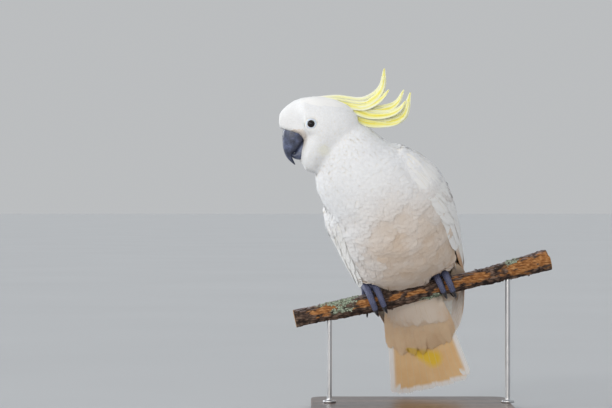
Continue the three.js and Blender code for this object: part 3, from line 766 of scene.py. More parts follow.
def scatter(surface, spacing, crowd, seed):
    """Evenly spread places on a surface, as far apart as the spacing field says at each."""
    rng = np.random.default_rng(seed)
    gap = spacing[surface.faces].mean(1)
    odds = surface.areas / gap**2
    chosen = rng.choice(len(odds), size=int(odds.sum() * crowd), p=odds / odds.sum())
    share = rng.random((len(chosen), 2))
    share = np.where(share.sum(1, keepdims=True) > 1, 1 - share, share)
    a, b, c = (surface.points[surface.faces[chosen, i]] for i in range(3))
    places = a + (b - a) * share[:, :1] + (c - a) * share[:, 1:]
    tree = place_tree(places)
    gaps = gap[chosen]
    free = np.ones(len(places), bool)
    kept = []
    for i, place in enumerate(places.tolist()):
        if free[i]:
            kept.append(i)
            for _, other, _ in tree.find_range(place, gaps[i]):
                free[other] = False
    kept = np.array(kept)
    return places[kept], chosen[kept]


SHOULDER_COAT = 0.22  # how far down each wing the body's small feathers carry on over it


def under_wings(places, normals, reach=24 * MM):
    """Which places on the skin the lower wings hide."""
    hidden = np.zeros(len(places), bool)
    for side in ("left", "right"):
        points, faces = arrays_of(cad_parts[f"wing_{side}"].data)
        wing = BVHTree.FromPolygons(points.tolist(), faces.tolist())
        shoulder = corner_spot(f"wing_{side}", 0, 0, 1 - SHOULDER_COAT)[2]
        for i, (place, normal) in enumerate(zip(places.tolist(), normals.tolist())):
            hit = wing.ray_cast(Vector(place) + Vector(normal) * 3 * MM, normal, reach)
            close = place[2] > shoulder and hit[3] is not None and hit[3] < 9 * MM
            hidden[i] |= hit[0] is not None and not close
    return hidden


def outer_form():
    """The whole bird's outside, wings and tail with it, that the feathers' tips lie on."""
    solids = ["head", "neck", "trunk", "leg_left", "leg_right", "wing_left", "wing_right", "tail"]
    outside = smooth_copy("outside", solids, 2.2 * MM, 5)
    points, faces = arrays_of(outside.data)
    form = Surface(narrow_face(points), faces)
    form.fields["normal"] = form.evened(form.normals, 3)
    bpy.data.objects.remove(outside)
    return form


COVERT_TOP = 156 * MM  # below this the long tail coverts take over from the body's feathers
BALD_EYE = 7.9 * MM  # no feather grows nearer to an eyeball's middle
# Along the guide line: the feathers' spacing and breadth, as shares of their length.
COAT_SPACING = np.array([36, 60, 100, 140]) * MM, [0.22, 0.17, 0.135, 0.125]
COAT_BREADTH = np.array([0, 40, 60, 100, 150]) * MM, [0.62, 0.5, 0.38, 0.42, 0.6]


def coat_roots():
    """Every small feather's root, heading, bend and size."""
    rng = np.random.default_rng(5)
    form, outside = skin_form, OUTSIDE
    length_field = form.fields["length"]
    spacing = length_field * np.interp(form.fields["run"], *COAT_SPACING)
    places, faces = scatter(form, spacing, 5, 21)
    normals = unit(form.read(faces, places, "normal"))
    shown = ~under_wings(places, normals) & (places[:, 2] > COVERT_TOP)
    for eye in EYES.values():
        shown &= np.linalg.norm(places - eye, axis=1) > BALD_EYE
    places, faces, normals = places[shown], faces[shown], normals[shown]
    flow = unit(form.read(faces, places, "flow"))
    length = form.read(faces, places, "length")
    depth = form.read(faces, places, "depth")
    run = form.read(faces, places, "run")
    count = len(places)
    jitter = rng.normal(0, 0.12, count)[:, None]
    flow = unit(flow + np.cross(normals, flow) * jitter)
    length = length * rng.uniform(0.85, 1.15, count)
    # The breast's feathers lie in soft lappets, each over the head of the next.
    lappets, _ = scatter(form, np.clip(length_field * 1.05, 10 * MM, 20 * MM), 4, 22)
    tree = place_tree(lappets)
    nearest = np.array([[hit[0][:] for hit in tree.find_n(place, 4)] for place in places.tolist()])
    away = (places[:, None] - nearest) / np.clip(length * 0.8, 8 * MM, 15 * MM)[:, None, None]
    pull = np.exp(-2.5 * (away**2).sum(2))
    down = ((away * flow[:, None]).sum(2) * pull).sum(1) / pull.sum(1)
    deep = smoothstep(85 * MM, 120 * MM, run) * smoothstep(0.6, 0.1, normals[:, 1])
    raised = smoothstep(-0.3, 0.6, down) * deep
    # Painted shade: the warm field lays a tan over the breast's middle and the belly, where the body lies in
    # shade, and in the hollow at the head of each lappet under the one above.
    sunless = smoothstep(-95 * MM, -25 * MM, places[:, 0]) * smoothstep(310 * MM, 210 * MM, places[:, 2])
    cloudy = np.array([noise_field.fractal(Vector(place * 45), 0.8, 2.0, 3) for place in places])
    warm = 0.10 * smoothstep(0.4, -0.5, down) * deep
    warm += (0.78 + 0.2 * cloudy) * sunless * smoothstep(40 * MM, 140 * MM, run)
    half = length[:, None] / 2
    mid, mid_face = outside.nearest(places + flow * half)
    mid_normal = unit(outside.read(mid_face, mid, "normal"))
    ahead = flow + np.cross(mid_normal, flow) * rng.normal(0, 0.04, count)[:, None]
    ahead = unit(ahead - mid_normal * (ahead * mid_normal).sum(1)[:, None])
    end, end_face = outside.nearest(mid + ahead * half)
    end_normal = unit(outside.read(end_face, end, "normal"))
    lift = rng.uniform(-0.05, 0.0, count) * depth + raised * 0.9 * MM - 0.2 * MM
    start = places - normals * 0.3 * MM
    mid = mid - mid_normal * (0.285 * depth - raised * 0.2 * MM)[:, None]
    end = end + end_normal * lift[:, None]
    reach = np.linalg.norm(end - start, axis=1)
    near_bill = np.linalg.norm(places - BILL_ROOT, axis=1)
    warm = np.maximum(warm, 0.55 * smoothstep(30 * MM, 12 * MM, near_bill) * (places[:, 2] < BILL_ROOT[2]))
    ear = HEAD_SPOT - HEAD_FORWARD * 3 * MM - UP * 24 * MM
    yellow = smoothstep(9 * MM, 3 * MM, np.linalg.norm((places - ear) * [1, 0, 1], axis=1))
    true_way = reach > 0.72 * length
    true_way &= ((end - start) * flow).sum(1) > 0.7 * reach
    # Below the shoulders no tip lies on a wing.
    shoulders = min(corner_spot(f"wing_{side}", 0, 0, 1 - SHOULDER_COAT)[2] for side in ("left", "right"))
    true_way &= ~under_wings(end - end_normal * 9 * MM, end_normal, 9 * MM) | (end[:, 2] > shoulders)
    bow = mid - (start + end) / 2
    _, around = along_guide(places)
    sideways = np.cross(around, np.array([0, -1.0, 0]))
    angle = np.arctan2((normals * unit(sideways)).sum(1), -normals[:, 1])
    spot = np.stack([angle / (2 * math.pi) + 0.5, run / GUIDE_RUN, np.zeros(count)], 1)
    broad = np.interp(run, *COAT_BREADTH) * rng.uniform(0.9, 1.1, count)
    width = reach * broad
    roots = {
        "place": start, "lie": unit(end - start), "up": mid_normal, "bow": bow,
        "size": np.stack([width, reach, width], 1), "root_spot": spot,
        "tone": rng.random(count), "warm": warm, "yellow": yellow, "kind": rng.integers(0, 3, count),
        "run": run, "normal": normals,
    }
    return {key: values[true_way] for key, values in roots.items()}


def plume_finish(name, root, tip):
    """White contour feathers: cream at the root as painted shade where they overlap, clean white at the
    frayed edge; the warm field multiplies in a painted tan shade.
    """
    material, tree, shader = new_finish(name, 0.75, Sheen_Weight=0.15, Sheen_Roughness=0.4,
                                        Specular_IOR_Level=0.25)
    along = field(tree, "along")
    tone = field(tree, "tone")
    colour = graded(tree, along, (0.25, root), (0.8, tip))
    # Painted shade: a tan multiplied in where the warm field is high.
    warm = blended(tree, field(tree, "warm"), colour, rgb(0.77, 0.60, 0.45), "MULTIPLY")
    warm = blended(tree, times(tree, field(tree, "yellow"), 0.2), warm, rgb(0.98, 0.92, 0.45), "MULTIPLY")
    shade = plus(tree, times(tree, tone, 0.06), 0.94)
    grey = wire(tree, "ShaderNodeCombineColor", {0: shade, 1: shade, 2: shade}).outputs[0]
    paint(tree, shader, blended(tree, 1.0, warm, grey, "MULTIPLY"))
    # Barbs run out from the shaft at a slant.
    side = maths(tree, "ABSOLUTE", field(tree, "side"))
    slant = minus(tree, times(tree, along, 26.0), times(tree, side, 9.0))
    bump(tree, shader, sine(tree, slant), 0.12, BARB_RELIEF)
    return material


OUTSIDE = outer_form()
COAT_TREE = coat_tree()
ROOTS = coat_roots()
WHITE = plume_finish("white contour plumage", (0.87, 0.83, 0.76), (0.895, 0.90, 0.91))
FACE_VANES = vane_set("face", rows=3, columns=2, teeth=6, widest=0.6, root=0.2, seed=0)
NECK_VANES = vane_set("neck", rows=4, columns=2, teeth=18, widest=0.55, root=0.15, seed=10)
BODY_VANES = vane_set("body", rows=5, columns=4, teeth=34, widest=0.62, root=0.12, seed=20)


def plume_bird():
    run, normal = ROOTS["run"], ROOTS["normal"]
    front = normal[:, 1] < 0.25
    zones = {
        "face_feathers": (run < 38 * MM, FACE_VANES),
        "crown_feathers": ((run >= 38 * MM) & (run < 62 * MM), FACE_VANES),
        "neck_feathers": ((run >= 62 * MM) & (run < 105 * MM), NECK_VANES),
        "breast_feathers": ((run >= 105 * MM) & (run < 165 * MM) & front, BODY_VANES),
        "belly_feathers": ((run >= 165 * MM) & front, BODY_VANES),
        "back_feathers": ((run >= 105 * MM) & ~front, BODY_VANES),
    }
    for name, (chosen, vanes) in zones.items():
        roots = {key: values[chosen] for key, values in ROOTS.items()}
        finished(grow_coat(name, roots, vanes, WHITE), "plumage")


plume_bird()


# ---------------------------------------------------------------- large feathers
VANE_COLUMNS = np.array([-1, -0.7, -0.4, -0.06, 0, 0.06, 0.4, 0.7, 1])
BARB_GAP = 0.8 * MM


class Bundle:
    """Gathers the large feathers of one piece: thin closed vanes with a raised shaft and a frayed edge."""

    def __init__(self, seed):
        self.points, self.faces, self.spots = [], [], []
        self.fields = {name: [] for name in ("along", "side", "tone", "warm")}
        self.count = 0
        self.rng = np.random.default_rng(seed)

    def _add(self, points, faces, along, side, tone, warm, spots):
        start = sum(len(p) for p in self.points)
        self.points.append(points)
        self.faces += [tuple(start + i for i in face) for face in faces]
        for name, values in (("along", along), ("side", side), ("tone", tone), ("warm", warm)):
            self.fields[name].append(np.broadcast_to(values, len(points)).astype(float))
        self.spots.append(spots)

    def add(self, line, ups, left, right, round_from=0.8, thick=0.3 * MM, cup=0.12, shaft=0.35 * MM,
            fray=1.6 * MM, warm=0.0, back_warm=1.0, back_tint=0.0, ragged=0.03, root_width=0.35,
            point=0.0):
        """A feather along a line of points, with the vane's width to each side of its shaft."""
        rng = self.rng
        line, ups = np.asarray(line), unit(ups)
        rows = len(line)
        steps = np.gradient(line, axis=0)
        ahead = unit(steps)
        ups = unit(ups - ahead * (ups * ahead).sum(1)[:, None])
        across = np.cross(ahead, ups)
        run = np.concatenate([[0], np.cumsum(np.linalg.norm(np.diff(line, axis=0), axis=1))])
        share = run / run[-1]
        swell = root_width + (1 - root_width) * smoothstep(0, 0.3, share)
        tip = np.clip((share - round_from) / (1.01 - round_from), 0, 1)
        outline = swell * np.sqrt(1 - tip**2.2 + 0.002) * (1 - point * tip**1.5)
        widths = []
        for wide in (left, right):
            wander = np.interp(share, np.linspace(0, 1, 9), rng.normal(0, ragged, 9))
            widths.append(wide * outline * (1 + wander))
        side = VANE_COLUMNS[None, :]
        reach = np.where(side < 0, widths[0][:, None], widths[1][:, None])
        sideways = side * reach
        ridge = np.where(np.abs(side) < 0.03, shaft, 0) * (1 - 0.8 * share)[:, None]
        sag = -cup * side**2 * reach
        body = line[:, None] + across[:, None] * sideways[..., None]
        top = body + ups[:, None] * (sag + ridge + thick / 2)[..., None]
        below = body + ups[:, None] * (sag - ridge - thick / 2)[..., None]
        columns = len(VANE_COLUMNS)
        along = np.repeat(share, columns)
        sides = np.tile(VANE_COLUMNS, rows)
        faces = []
        under = rows * columns
        for i in range(rows - 1):
            for j in range(columns - 1):
                a = i * columns + j
                quad = (a, a + 1, a + columns + 1, a + columns)
                faces += [quad, tuple(under + k for k in quad[::-1])]
        rim = [j for j in range(columns)] + [i * columns + columns - 1 for i in range(1, rows)]
        rim += [(rows - 1) * columns + j for j in range(columns - 2, -1, -1)]
        rim += [i * columns for i in range(rows - 2, 0, -1)]
        # The rim has its own points, so its thin edge doesn't shade the web.
        edge = 2 * under
        for a in range(len(rim)):
            b = (a + 1) % len(rim)
            faces.append((edge + b, edge + a, edge + len(rim) + a, edge + len(rim) + b))
        tone = rng.random()
        if callable(warm):
            warm_here = warm(share[:, None], side).ravel()
            warm_edge = warm
        else:
            warm_here = np.full(rows * columns, float(warm))
            warm_edge = lambda share, side: np.full(np.shape(share), float(warm))
        local = np.stack([sides * 0.2 + 0.25, along * 0.9 + 0.05, np.full(len(along), self.count)], 1)
        spots = np.vstack([local, local + [0.5, 0, 0]])
        points = np.vstack([top.reshape(-1, 3), below.reshape(-1, 3)])
        # The underside's warm share has a floor; the wings set it for a painted shade on the flight feathers'
        # undersides.
        both = np.concatenate([warm_here, np.maximum(warm_here * back_warm, back_tint)])
        kept = np.concatenate([np.arange(2 * under), rim, np.array(rim) + under])
        along, sides = np.tile(along, 2)[kept], np.tile(sides, 2)[kept]
        self._add(points[kept], faces, along, sides, tone, both[kept], spots[kept])
        self._fray(body + ups[:, None] * sag[..., None], ahead, across, share, fray, tone, warm_edge)
        self.count += 1

    def _fray(self, body, ahead, across, share, fray, tone, warm):
        """Fine loose barbs along both edges and round the tip."""
        rng = self.rng
        rows = len(share)
        edge = [(i, -1) for i in range(2, rows)] + [(rows - 1, j) for j in np.linspace(-0.8, 0.8, 7)]
        edge += [(i, 1) for i in range(rows - 1, 1, -1)]
        spots = []
        for i, side in edge:
            column = np.interp(side, VANE_COLUMNS, np.arange(len(VANE_COLUMNS)))
            low = int(min(column, len(VANE_COLUMNS) - 2))
            place = body[i, low] + (body[i, low + 1] - body[i, low]) * (column - low)
            spots.append((place, i, side))
        points, faces, along, sides = [], [], [], []
        for (a, i, side), (b, k, other) in zip(spots, spots[1:]):
            pieces = max(2, int(np.linalg.norm(b - a) / BARB_GAP))
            for part in range(pieces):
                start = a + (b - a) * part / pieces
                end = a + (b - a) * (part + 1.5) / pieces
                outward = across[i] * side * 0.35 + ahead[i] * (0.9 + 0.5 * (abs(side) < 1))
                tip = (start + end) / 2 + outward * fray * (0.25 + 0.9 * rng.random() ** 1.5)
                inset = -(across[i] * side + ahead[i] * 0.3) * 0.4 * MM
                first = len(points)
                points += [start + inset, end + inset, tip]
                along += [share[i], share[k], min(share[i] + 0.03, 1)]
                sides += [side * 0.95, other * 0.95, side]
                faces.append((first, first + 2, first + 1))
        local = [np.array(sides) * 0.2 + 0.25, np.array(along) * 0.9 + 0.05, np.full(len(along), self.count)]
        warmth = warm(np.array(along), np.array(sides))
        self._add(np.array(points), faces, along, sides, tone, warmth, np.stack(local, 1))

    def piece(self, name, material):
        made = new_piece(name, np.vstack(self.points), self.faces, material)
        for key, values in self.fields.items():
            keep_field(made.data, key, np.concatenate(values))
        # Each feather has its own cell of the bake map.
        spots = np.vstack(self.spots)
        cells = math.ceil(math.sqrt(self.count))
        spots = (spots[:, :2] + np.stack([spots[:, 2] % cells, spots[:, 2] // cells], 1)) / cells
        corners = np.empty(len(made.data.loops), np.int32)
        made.data.loops.foreach_get("vertex_index", corners)
        layer = made.data.uv_layers.new(name="OFBake")
        layer.data.foreach_set("uv", spots[corners].astype(np.float32).ravel())
        return made


# ---------------------------------------------------------------- the wings
class Sheet:
    """A surface as a grid of points: u runs down it from the shoulder, v across it from the breast."""

    def __init__(self, points):
        self.points = points
        down = np.gradient(points, axis=0)
        over = np.gradient(points, axis=1)
        self.normals = unit(np.cross(down, over))

    def read(self, grid, u, v):
        rows, columns = grid.shape[0] - 1, grid.shape[1] - 1
        x, y = np.clip(u, 0, 1) * rows, np.clip(v, 0, 1) * columns
        i, j = np.minimum(x.astype(int), rows - 1), np.minimum(y.astype(int), columns - 1)
        p, q = (x - i)[..., None], (y - j)[..., None]
        near = grid[i, j] * (1 - q) + grid[i, j + 1] * q
        far = grid[i + 1, j] * (1 - q) + grid[i + 1, j + 1] * q
        return near * (1 - p) + far * p

    def place(self, u, v, height):
        normal = unit(self.read(self.normals, u, v))
        return self.read(self.points, u, v) + normal * np.asarray(height)[..., None], normal


def even_grid(grid, rounds):
    """Draws each place of a grid towards its neighbours."""
    for _ in range(rounds):
        grid[1:-1, 1:-1] = (grid[1:-1, 1:-1] * 4 + grid[:-2, 1:-1] + grid[2:, 1:-1]
                            + grid[1:-1, :-2] + grid[1:-1, 2:]) / 8
        for edge in (0, -1):
            grid[1:-1, edge] = (grid[1:-1, edge] * 2 + grid[:-2, edge] + grid[2:, edge]) / 4


def along_sheet(bundle, sheet, start, end, heights, left, right, rows, bow=0.0, **shape):
    """A feather over a sheet from (u, v) to (u, v)."""
    s = np.linspace(0, 1, rows)
    u = start[0] + (end[0] - start[0]) * s
    v = start[1] + (end[1] - start[1]) * s + bow * s * (1 - s)
    line, ups = sheet.place(u, v, heights[0] + (heights[1] - heights[0]) * s)
    bundle.add(line, ups, left, right, **shape)


def wing_sheet(side):
    """The outer surface of a folded wing's solid, evened out."""
    sign = 1 if side == "left" else -1
    points, faces = arrays_of(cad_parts[f"wing_{side}"].data)
    tree = BVHTree.FromPolygons(points.tolist(), faces.tolist())
    axis = unit(WING_ENDS - SHOULDERS)
    front = np.array([0, -1.0, 0])
    front = unit(front - axis * (front @ axis))
    aside = np.cross(front, axis) * sign
    run = (points - SHOULDERS) @ axis
    heights = np.linspace(run.min(), run.max(), 62)[1:-1]
    far = 0.2

    def outer(height, angle):
        out = front * math.cos(angle) + aside * math.sin(angle)
        origin = SHOULDERS + axis * height + out * far
        return tree.ray_cast(Vector(origin), Vector(-out), far)[0]

    angles = np.radians(np.arange(30, 182, 1.0))
    leads, trails = [], []
    for height in heights:
        met = [angle for angle in angles if outer(height, angle)]
        leads.append(min(met) + math.radians(0.6))
        trails.append(max(met) - math.radians(0.6))

    def eased(values):
        padded = np.concatenate([[values[0]] * 2, values, [values[-1]] * 2])
        return np.convolve(padded, [0.1, 0.2, 0.4, 0.2, 0.1], "valid")

    leads, trails = eased(leads), eased(trails)
    grid = np.zeros((len(heights), 25, 3))
    for i, height in enumerate(heights):
        for j in range(25):
            angle = leads[i] + (trails[i] - leads[i]) * j / 24
            hit = outer(height, angle)
            for inward in np.radians([1, -1, 2, -2, 4, -4]):
                if hit is None:
                    hit = outer(height, angle + inward)
            grid[i, j] = hit if hit is not None else grid[i, j - 1]
    even_grid(grid, 5)
    sheet = Sheet(grid)
    outward = grid.mean(1) - (SHOULDERS + axis * heights[:, None])
    if (sheet.normals.mean(1) * outward).sum() < 0:
        sheet.normals = -sheet.normals
    return sheet


def lay_feather(bundle, sheet, sign, start, end, heights, outer, inner, **shape):
    """A feather on a wing's sheet; outer is the width of the vane on the breast side."""
    left, right = (outer, inner) if sign < 0 else (inner, outer)
    along_sheet(bundle, sheet, start, end, heights, left, right, **shape)


# Where the primaries end down the folded wing, from the breast side back.
PRIMARY_TIPS = [0.945, 0.98, 0.995, 0.98, 0.95, 0.915, 0.88, 0.845, 0.81, 0.78]
# Primaries with a painted orange-brown shade along one web, for the shaded slits between them.
SLIT_SHADED_PRIMARIES = (0, 1, 3)
SECONDARIES = 11
COVERT_ROWS = [  # start, end, feathers, heights at root and tip, half width
    (0.215, 0.50, 12, (-1.6, -0.1), 10.0),
    (0.15, 0.385, 13, (-1.4, 0.2), 9.5),
    (0.095, 0.30, 14, (-1.2, 0.4), 8.5),
    (0.05, 0.225, 13, (-1.0, 0.5), 7.5),
    (0.01, 0.155, 11, (-0.8, 0.5), 6.5),
]


def slit_shaded_edge(sign):
    """How much painted shade a flight feather carries for the shaded slit beside it: along its vane on the
    breast side, short of its tip.
    """
    def slit_shade_share(share, side):
        return (smoothstep(0.0, 0.6, side * sign) * smoothstep(0.25, 0.4, share)
                * (1 - smoothstep(0.80, 0.92, share)))
    return slit_shade_share


def feather_wing(side):
    """The rows of a folded wing's feathers, from the flight feathers out to the smallest coverts."""
    sign = 1 if side == "left" else -1
    sheet = wing_sheet(side)
    flight = Bundle(31 + sign)
    slit_shade = slit_shaded_edge(sign)
    # Painted shade: the flight feathers' undersides carry a warm tint, and a few primaries an orange-brown
    # along one web.
    for k, tip in enumerate(PRIMARY_TIPS):
        share = k / (len(PRIMARY_TIPS) - 1)
        lay_feather(flight, sheet, sign, (0.30, 0.03 + 0.20 * share), (tip, 0.16 + 0.60 * share),
                    ((-3.4 + 0.22 * k) * MM, (-1.3 + 0.12 * k) * MM), 4.2 * MM, 12 * MM,
                    bow=0.05, rows=30, round_from=0.86, warm=slit_shade if k in SLIT_SHADED_PRIMARIES else 0.0, cup=0.05,
                    back_tint=0.25)
    for k in range(SECONDARIES):
        share = k / (SECONDARIES - 1)
        lay_feather(flight, sheet, sign, (0.26, 0.23 + 0.67 * share),
                    (0.655 + 0.10 * share, 0.31 + 0.59 * share),
                    ((-2.6 + 0.14 * k) * MM, (-0.9 + 0.10 * k) * MM), 8.5 * MM, 12.5 * MM,
                    rows=26, round_from=0.84, cup=0.05, back_tint=0.3)
    finished(flight.piece(f"wing_{side}_flight_feathers", FLIGHT), "plumage", f"wing_{side}")
    coverts = Bundle(41 + sign)
    for k in range(7):
        share = k / 6
        lay_feather(coverts, sheet, sign, (0.20 + 0.02 * share, 0.015 + 0.10 * share),
                    (0.44 + 0.05 * share, 0.04 + 0.14 * share),
                    ((-1.8 + 0.15 * k) * MM, (-0.7 + 0.1 * k) * MM), 4.5 * MM, 8 * MM, rows=18, cup=0.1)
    rng = np.random.default_rng(51 + sign)
    for start, end, feathers, (low, high), half in COVERT_ROWS:
        for k in range(feathers):
            share = (k + 0.35 + rng.uniform(-0.1, 0.1)) / (feathers - 0.3)
            drift = rng.normal(0, 0.008)
            wide = half * 1.1 * MM
            lay_feather(coverts, sheet, sign, (start + drift, 0.97 * share),
                        (end + drift * 1.5, 0.985 * share), (low * MM, (high + 0.02 * k) * MM),
                        wide, wide, rows=14, round_from=0.62, cup=0.05, shaft=0.08 * MM,
                        thick=0.16 * MM, fray=1.2 * MM)
    finished(coverts.piece(f"wing_{side}_coverts", FLIGHT), "plumage")


def flight_finish():
    """White webs with a cream shaft; the warm field paints an orange-brown shade along one web of a few
    primaries, for the shaded slits between them, and on the flight feathers' undersides.
    """
    material, tree, shader = new_finish("white flight plumage", 0.6, Sheen_Weight=0.1, Specular_IOR_Level=0.3)
    along, side, warm = field(tree, "along"), field(tree, "side"), field(tree, "warm")
    white = graded(tree, along, (0.1, (0.86, 0.83, 0.76)), (0.6, (0.90, 0.89, 0.87)))
    edge = maths(tree, "ABSOLUTE", side)
    shaft = maths(tree, "LESS_THAN", edge, 0.05)
    with_shaft = blended(tree, times(tree, shaft, 0.5), white, rgb(0.80, 0.72, 0.58))
    # Painted shade: orange-brown where the warm field is high, for shaded slits and undersides.
    slit_shade = blended(tree, times(tree, warm, 0.9), with_shaft, rgb(0.55, 0.26, 0.07))
    paint(tree, shader, slit_shade)
    barb_ridges(tree, shader, along, edge, 90.0, 9.0, 0.10)
    return material


FLIGHT = flight_finish()
for wing_side in ("left", "right"):
    feather_wing(wing_side)


# ---------------------------------------------------------------- the tail
def tail_sheet(facing):
    """One face of the tail's solid, from its root to its tip and from its left edge to its right."""
    points, faces = arrays_of(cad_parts["tail"].data)
    tree = BVHTree.FromPolygons(points.tolist(), faces.tolist())
    middle_spot = points.mean(0)
    _, _, axes = np.linalg.svd(points - middle_spot)
    down, over, out = axes
    down = down if down[2] < 0 else -down
    over = over if over[0] > 0 else -over
    out = unit(np.cross(down, over))
    out = out if out[1] * facing < 0 else -out
    run = (points - middle_spot) @ down
    side = (points - middle_spot) @ over

    def struck(u, w):
        origin = middle_spot + down * u + over * w + out * 0.1
        return tree.ray_cast(Vector(origin), Vector(-out), 0.2)[0]

    # The sides are met down to near the lower edge, and carried on straight from there.
    stations = np.linspace(run.min() + 1.5 * MM, run.max() + 1.0 * MM, 60)
    edges = []
    for u in stations[:44]:
        met = [w for w in np.arange(side.min(), side.max(), 0.7 * MM) if struck(u, w)]
        edges.append([min(met) + 0.4 * MM, max(met) - 0.4 * MM])
    slope = (np.array(edges[-1]) - np.array(edges[-13])) / 12
    edges += [np.array(edges[-1]) + slope * k for k in range(1, 17)]
    edges = np.array(edges)
    grid = np.zeros((48, 25, 3))
    for j in range(25):
        lane = edges[:, 0] + (edges[:, 1] - edges[:, 0]) * j / 24
        tried = np.arange(stations[0], stations[-1], 0.5 * MM)
        met = [u for u in tried if struck(u, np.interp(u, stations, lane))]
        for i, u in enumerate(np.linspace(stations[0], max(met) - 0.3 * MM, 48)):
            w = np.interp(u, stations, lane)
            hit = struck(u, w) or struck(u, w * 0.98) or struck(u, w * 0.95)
            grid[i, j] = hit if hit is not None else grid[i - 1, j]
    even_grid(grid, 6)
    # The solid's rounded rims are carried on flat.
    for k in (1, 2, 3):
        grid[-4 + k] = grid[-4] + (grid[-4] - grid[-8]) / 4 * k
    for edge, step in ((0, 1), (-1, -1)):
        grid[:, edge] = 2 * grid[:, edge + 2 * step] - grid[:, edge + 4 * step]
        grid[:, edge + step] = (grid[:, edge] + grid[:, edge + 2 * step]) / 2
    sheet = Sheet(grid)
    if (sheet.normals @ out).sum() < 0:
        sheet.normals = -sheet.normals
    return sheet


def outer_pale(side_sign):
    """A tail quill is tan, partly painted shade, but white along its outer edge and its tip, where the light
    reached it.
    """
    def tan(share, side):
        edge = smoothstep(-0.25, 0.35, side * side_sign)
        return (1 - edge) * (1 - smoothstep(0.945, 0.972, share + 0.02 * np.abs(side)))
    return tan


def plain_tan(share, side):
    return (1 - smoothstep(0.955, 0.98, share)) + 0 * side


def draped(tree, start, ahead, out, length, lift, steps=18):
    """The line of a feather that lies from start along ahead over whatever is under it, bridging hollows."""
    share = np.linspace(0, 1, steps)
    base = start + ahead * (length * share)[:, None]
    hull = []
    for s, spot in zip(share, base):
        hit = tree.ray_cast(Vector(spot + out * 0.12), Vector(-out), 0.24)[0]
        if hit is None:
            continue
        height = (np.array(hit) - spot) @ out
        while len(hull) > 1 and ((hull[-1][1] - hull[-2][1]) * (s - hull[-2][0])
                                 <= (height - hull[-2][1]) * (hull[-1][0] - hull[-2][0])):
            hull.pop()
        hull.append((s, height))
    if len(hull) < 2:
        return None
    heights = np.interp(share, *zip(*hull))
    for _ in range(6):
        between = (heights[:-2] + heights[2:]) / 2
        heights[1:-1] = np.maximum(between, (heights[1:-1] + between) / 2)
    return base + out * (heights + lift[0] + (lift[1] - lift[0]) * np.minimum(share * 1.6, 1))[:, None]


COVERT_SPREAD = 0.96  # how much of the tail's breadth the coverts lie over


def drape_coverts(bundle, support, sheet, ends, feathers, length, half, top_height, warm, seed):
    """Rows of long coverts that come off the body and lie down over the tail, lowest row first."""
    rng = np.random.default_rng(seed)
    out = unit(sheet.normals.mean((0, 1)))
    for row, end in enumerate(ends):
        for k in range(feathers):
            share = (k + 0.5 + rng.uniform(-0.2, 0.2)) / feathers
            v = 0.5 + (share - 0.5) * COVERT_SPREAD
            drift = rng.normal(0, 0.020) - 0.07 * (2 * share - 1) ** 2
            above, _ = sheet.place(np.array(max(end - 0.25, 0)), np.array(v), np.array(0.0))
            tip, _ = sheet.place(np.array(max(end + drift, 0.02)), np.array(v), np.array(0.0))
            way = unit(tip - above)
            size = min(length * rng.uniform(0.9, 1.1), (top_height - tip[2]) / -way[2])
            line = draped(support, tip - way * size, way, out, size,
                          ((-1.6 + 0.05 * row) * MM, (0.12 + 0.06 * row + rng.uniform(0, 0.10)) * MM))
            if line is not None:
                bundle.add(line, np.tile(out, (len(line), 1)), half, half, round_from=0.45, cup=0.02,
                           point=0.12, shaft=0.02 * MM, fray=3.0 * MM, thick=0.1 * MM, root_width=0.6,
                           warm=warm * (1 - 0.55 * row / len(ends)))


QUILLS = 12


def feather_tail():
    under = tail_sheet(1)
    upper = tail_sheet(-1)
    quills = Bundle(61)
    rng = np.random.default_rng(62)
    for k in range(QUILLS):
        share = (k + 0.5) / QUILLS
        layer = min(k, QUILLS - 1 - k)
        shape = outer_pale(1 if k < QUILLS / 2 else -1) if layer == 0 else plain_tan
        tip = 0.985 + rng.uniform(-0.012, 0.010)
        wide = 8.2 * MM if layer else 6.4 * MM
        along_sheet(quills, under, (0.02, 0.5 + (share - 0.5) * 0.84), (tip, 0.5 + (share - 0.5) * 0.97),
                    ((-0.5 - 0.30 * layer) * MM, (-0.15 - 0.12 * layer) * MM), wide, wide, rows=40,
                    thick=0.2 * MM, round_from=0.965, cup=0.02, shaft=0.18 * MM, warm=shape, back_warm=0.06,
                    fray=2.2 * MM, ragged=0.02)
    finished(quills.piece("tail_quills", TAIL_WHITE), "plumage", "tail")
    below, above = Bundle(63), Bundle(64)
    rump = smooth_copy("rump", ["trunk", "leg_left", "leg_right", "tail"], 2.2 * MM, 5)
    support = Surface(*arrays_of(rump.data)).tree
    bpy.data.objects.remove(rump)
    # The coverts under the tail carry the same tan, partly painted shade, with less of it in the upper rows.
    drape_coverts(below, support, under, ends=np.linspace(0.63, 0.34, 9), feathers=22, length=54 * MM,
                  half=6.4 * MM, top_height=154 * MM, warm=0.8, seed=65)
    drape_coverts(above, support, upper, ends=np.linspace(0.46, 0.22, 7), feathers=20, length=48 * MM,
                  half=6.0 * MM, top_height=168 * MM, warm=0.0, seed=66)
    finished(below.piece("undertail_coverts", TAIL_WHITE), "plumage")
    finished(above.piece("uppertail_coverts", TAIL_WHITE), "plumage")


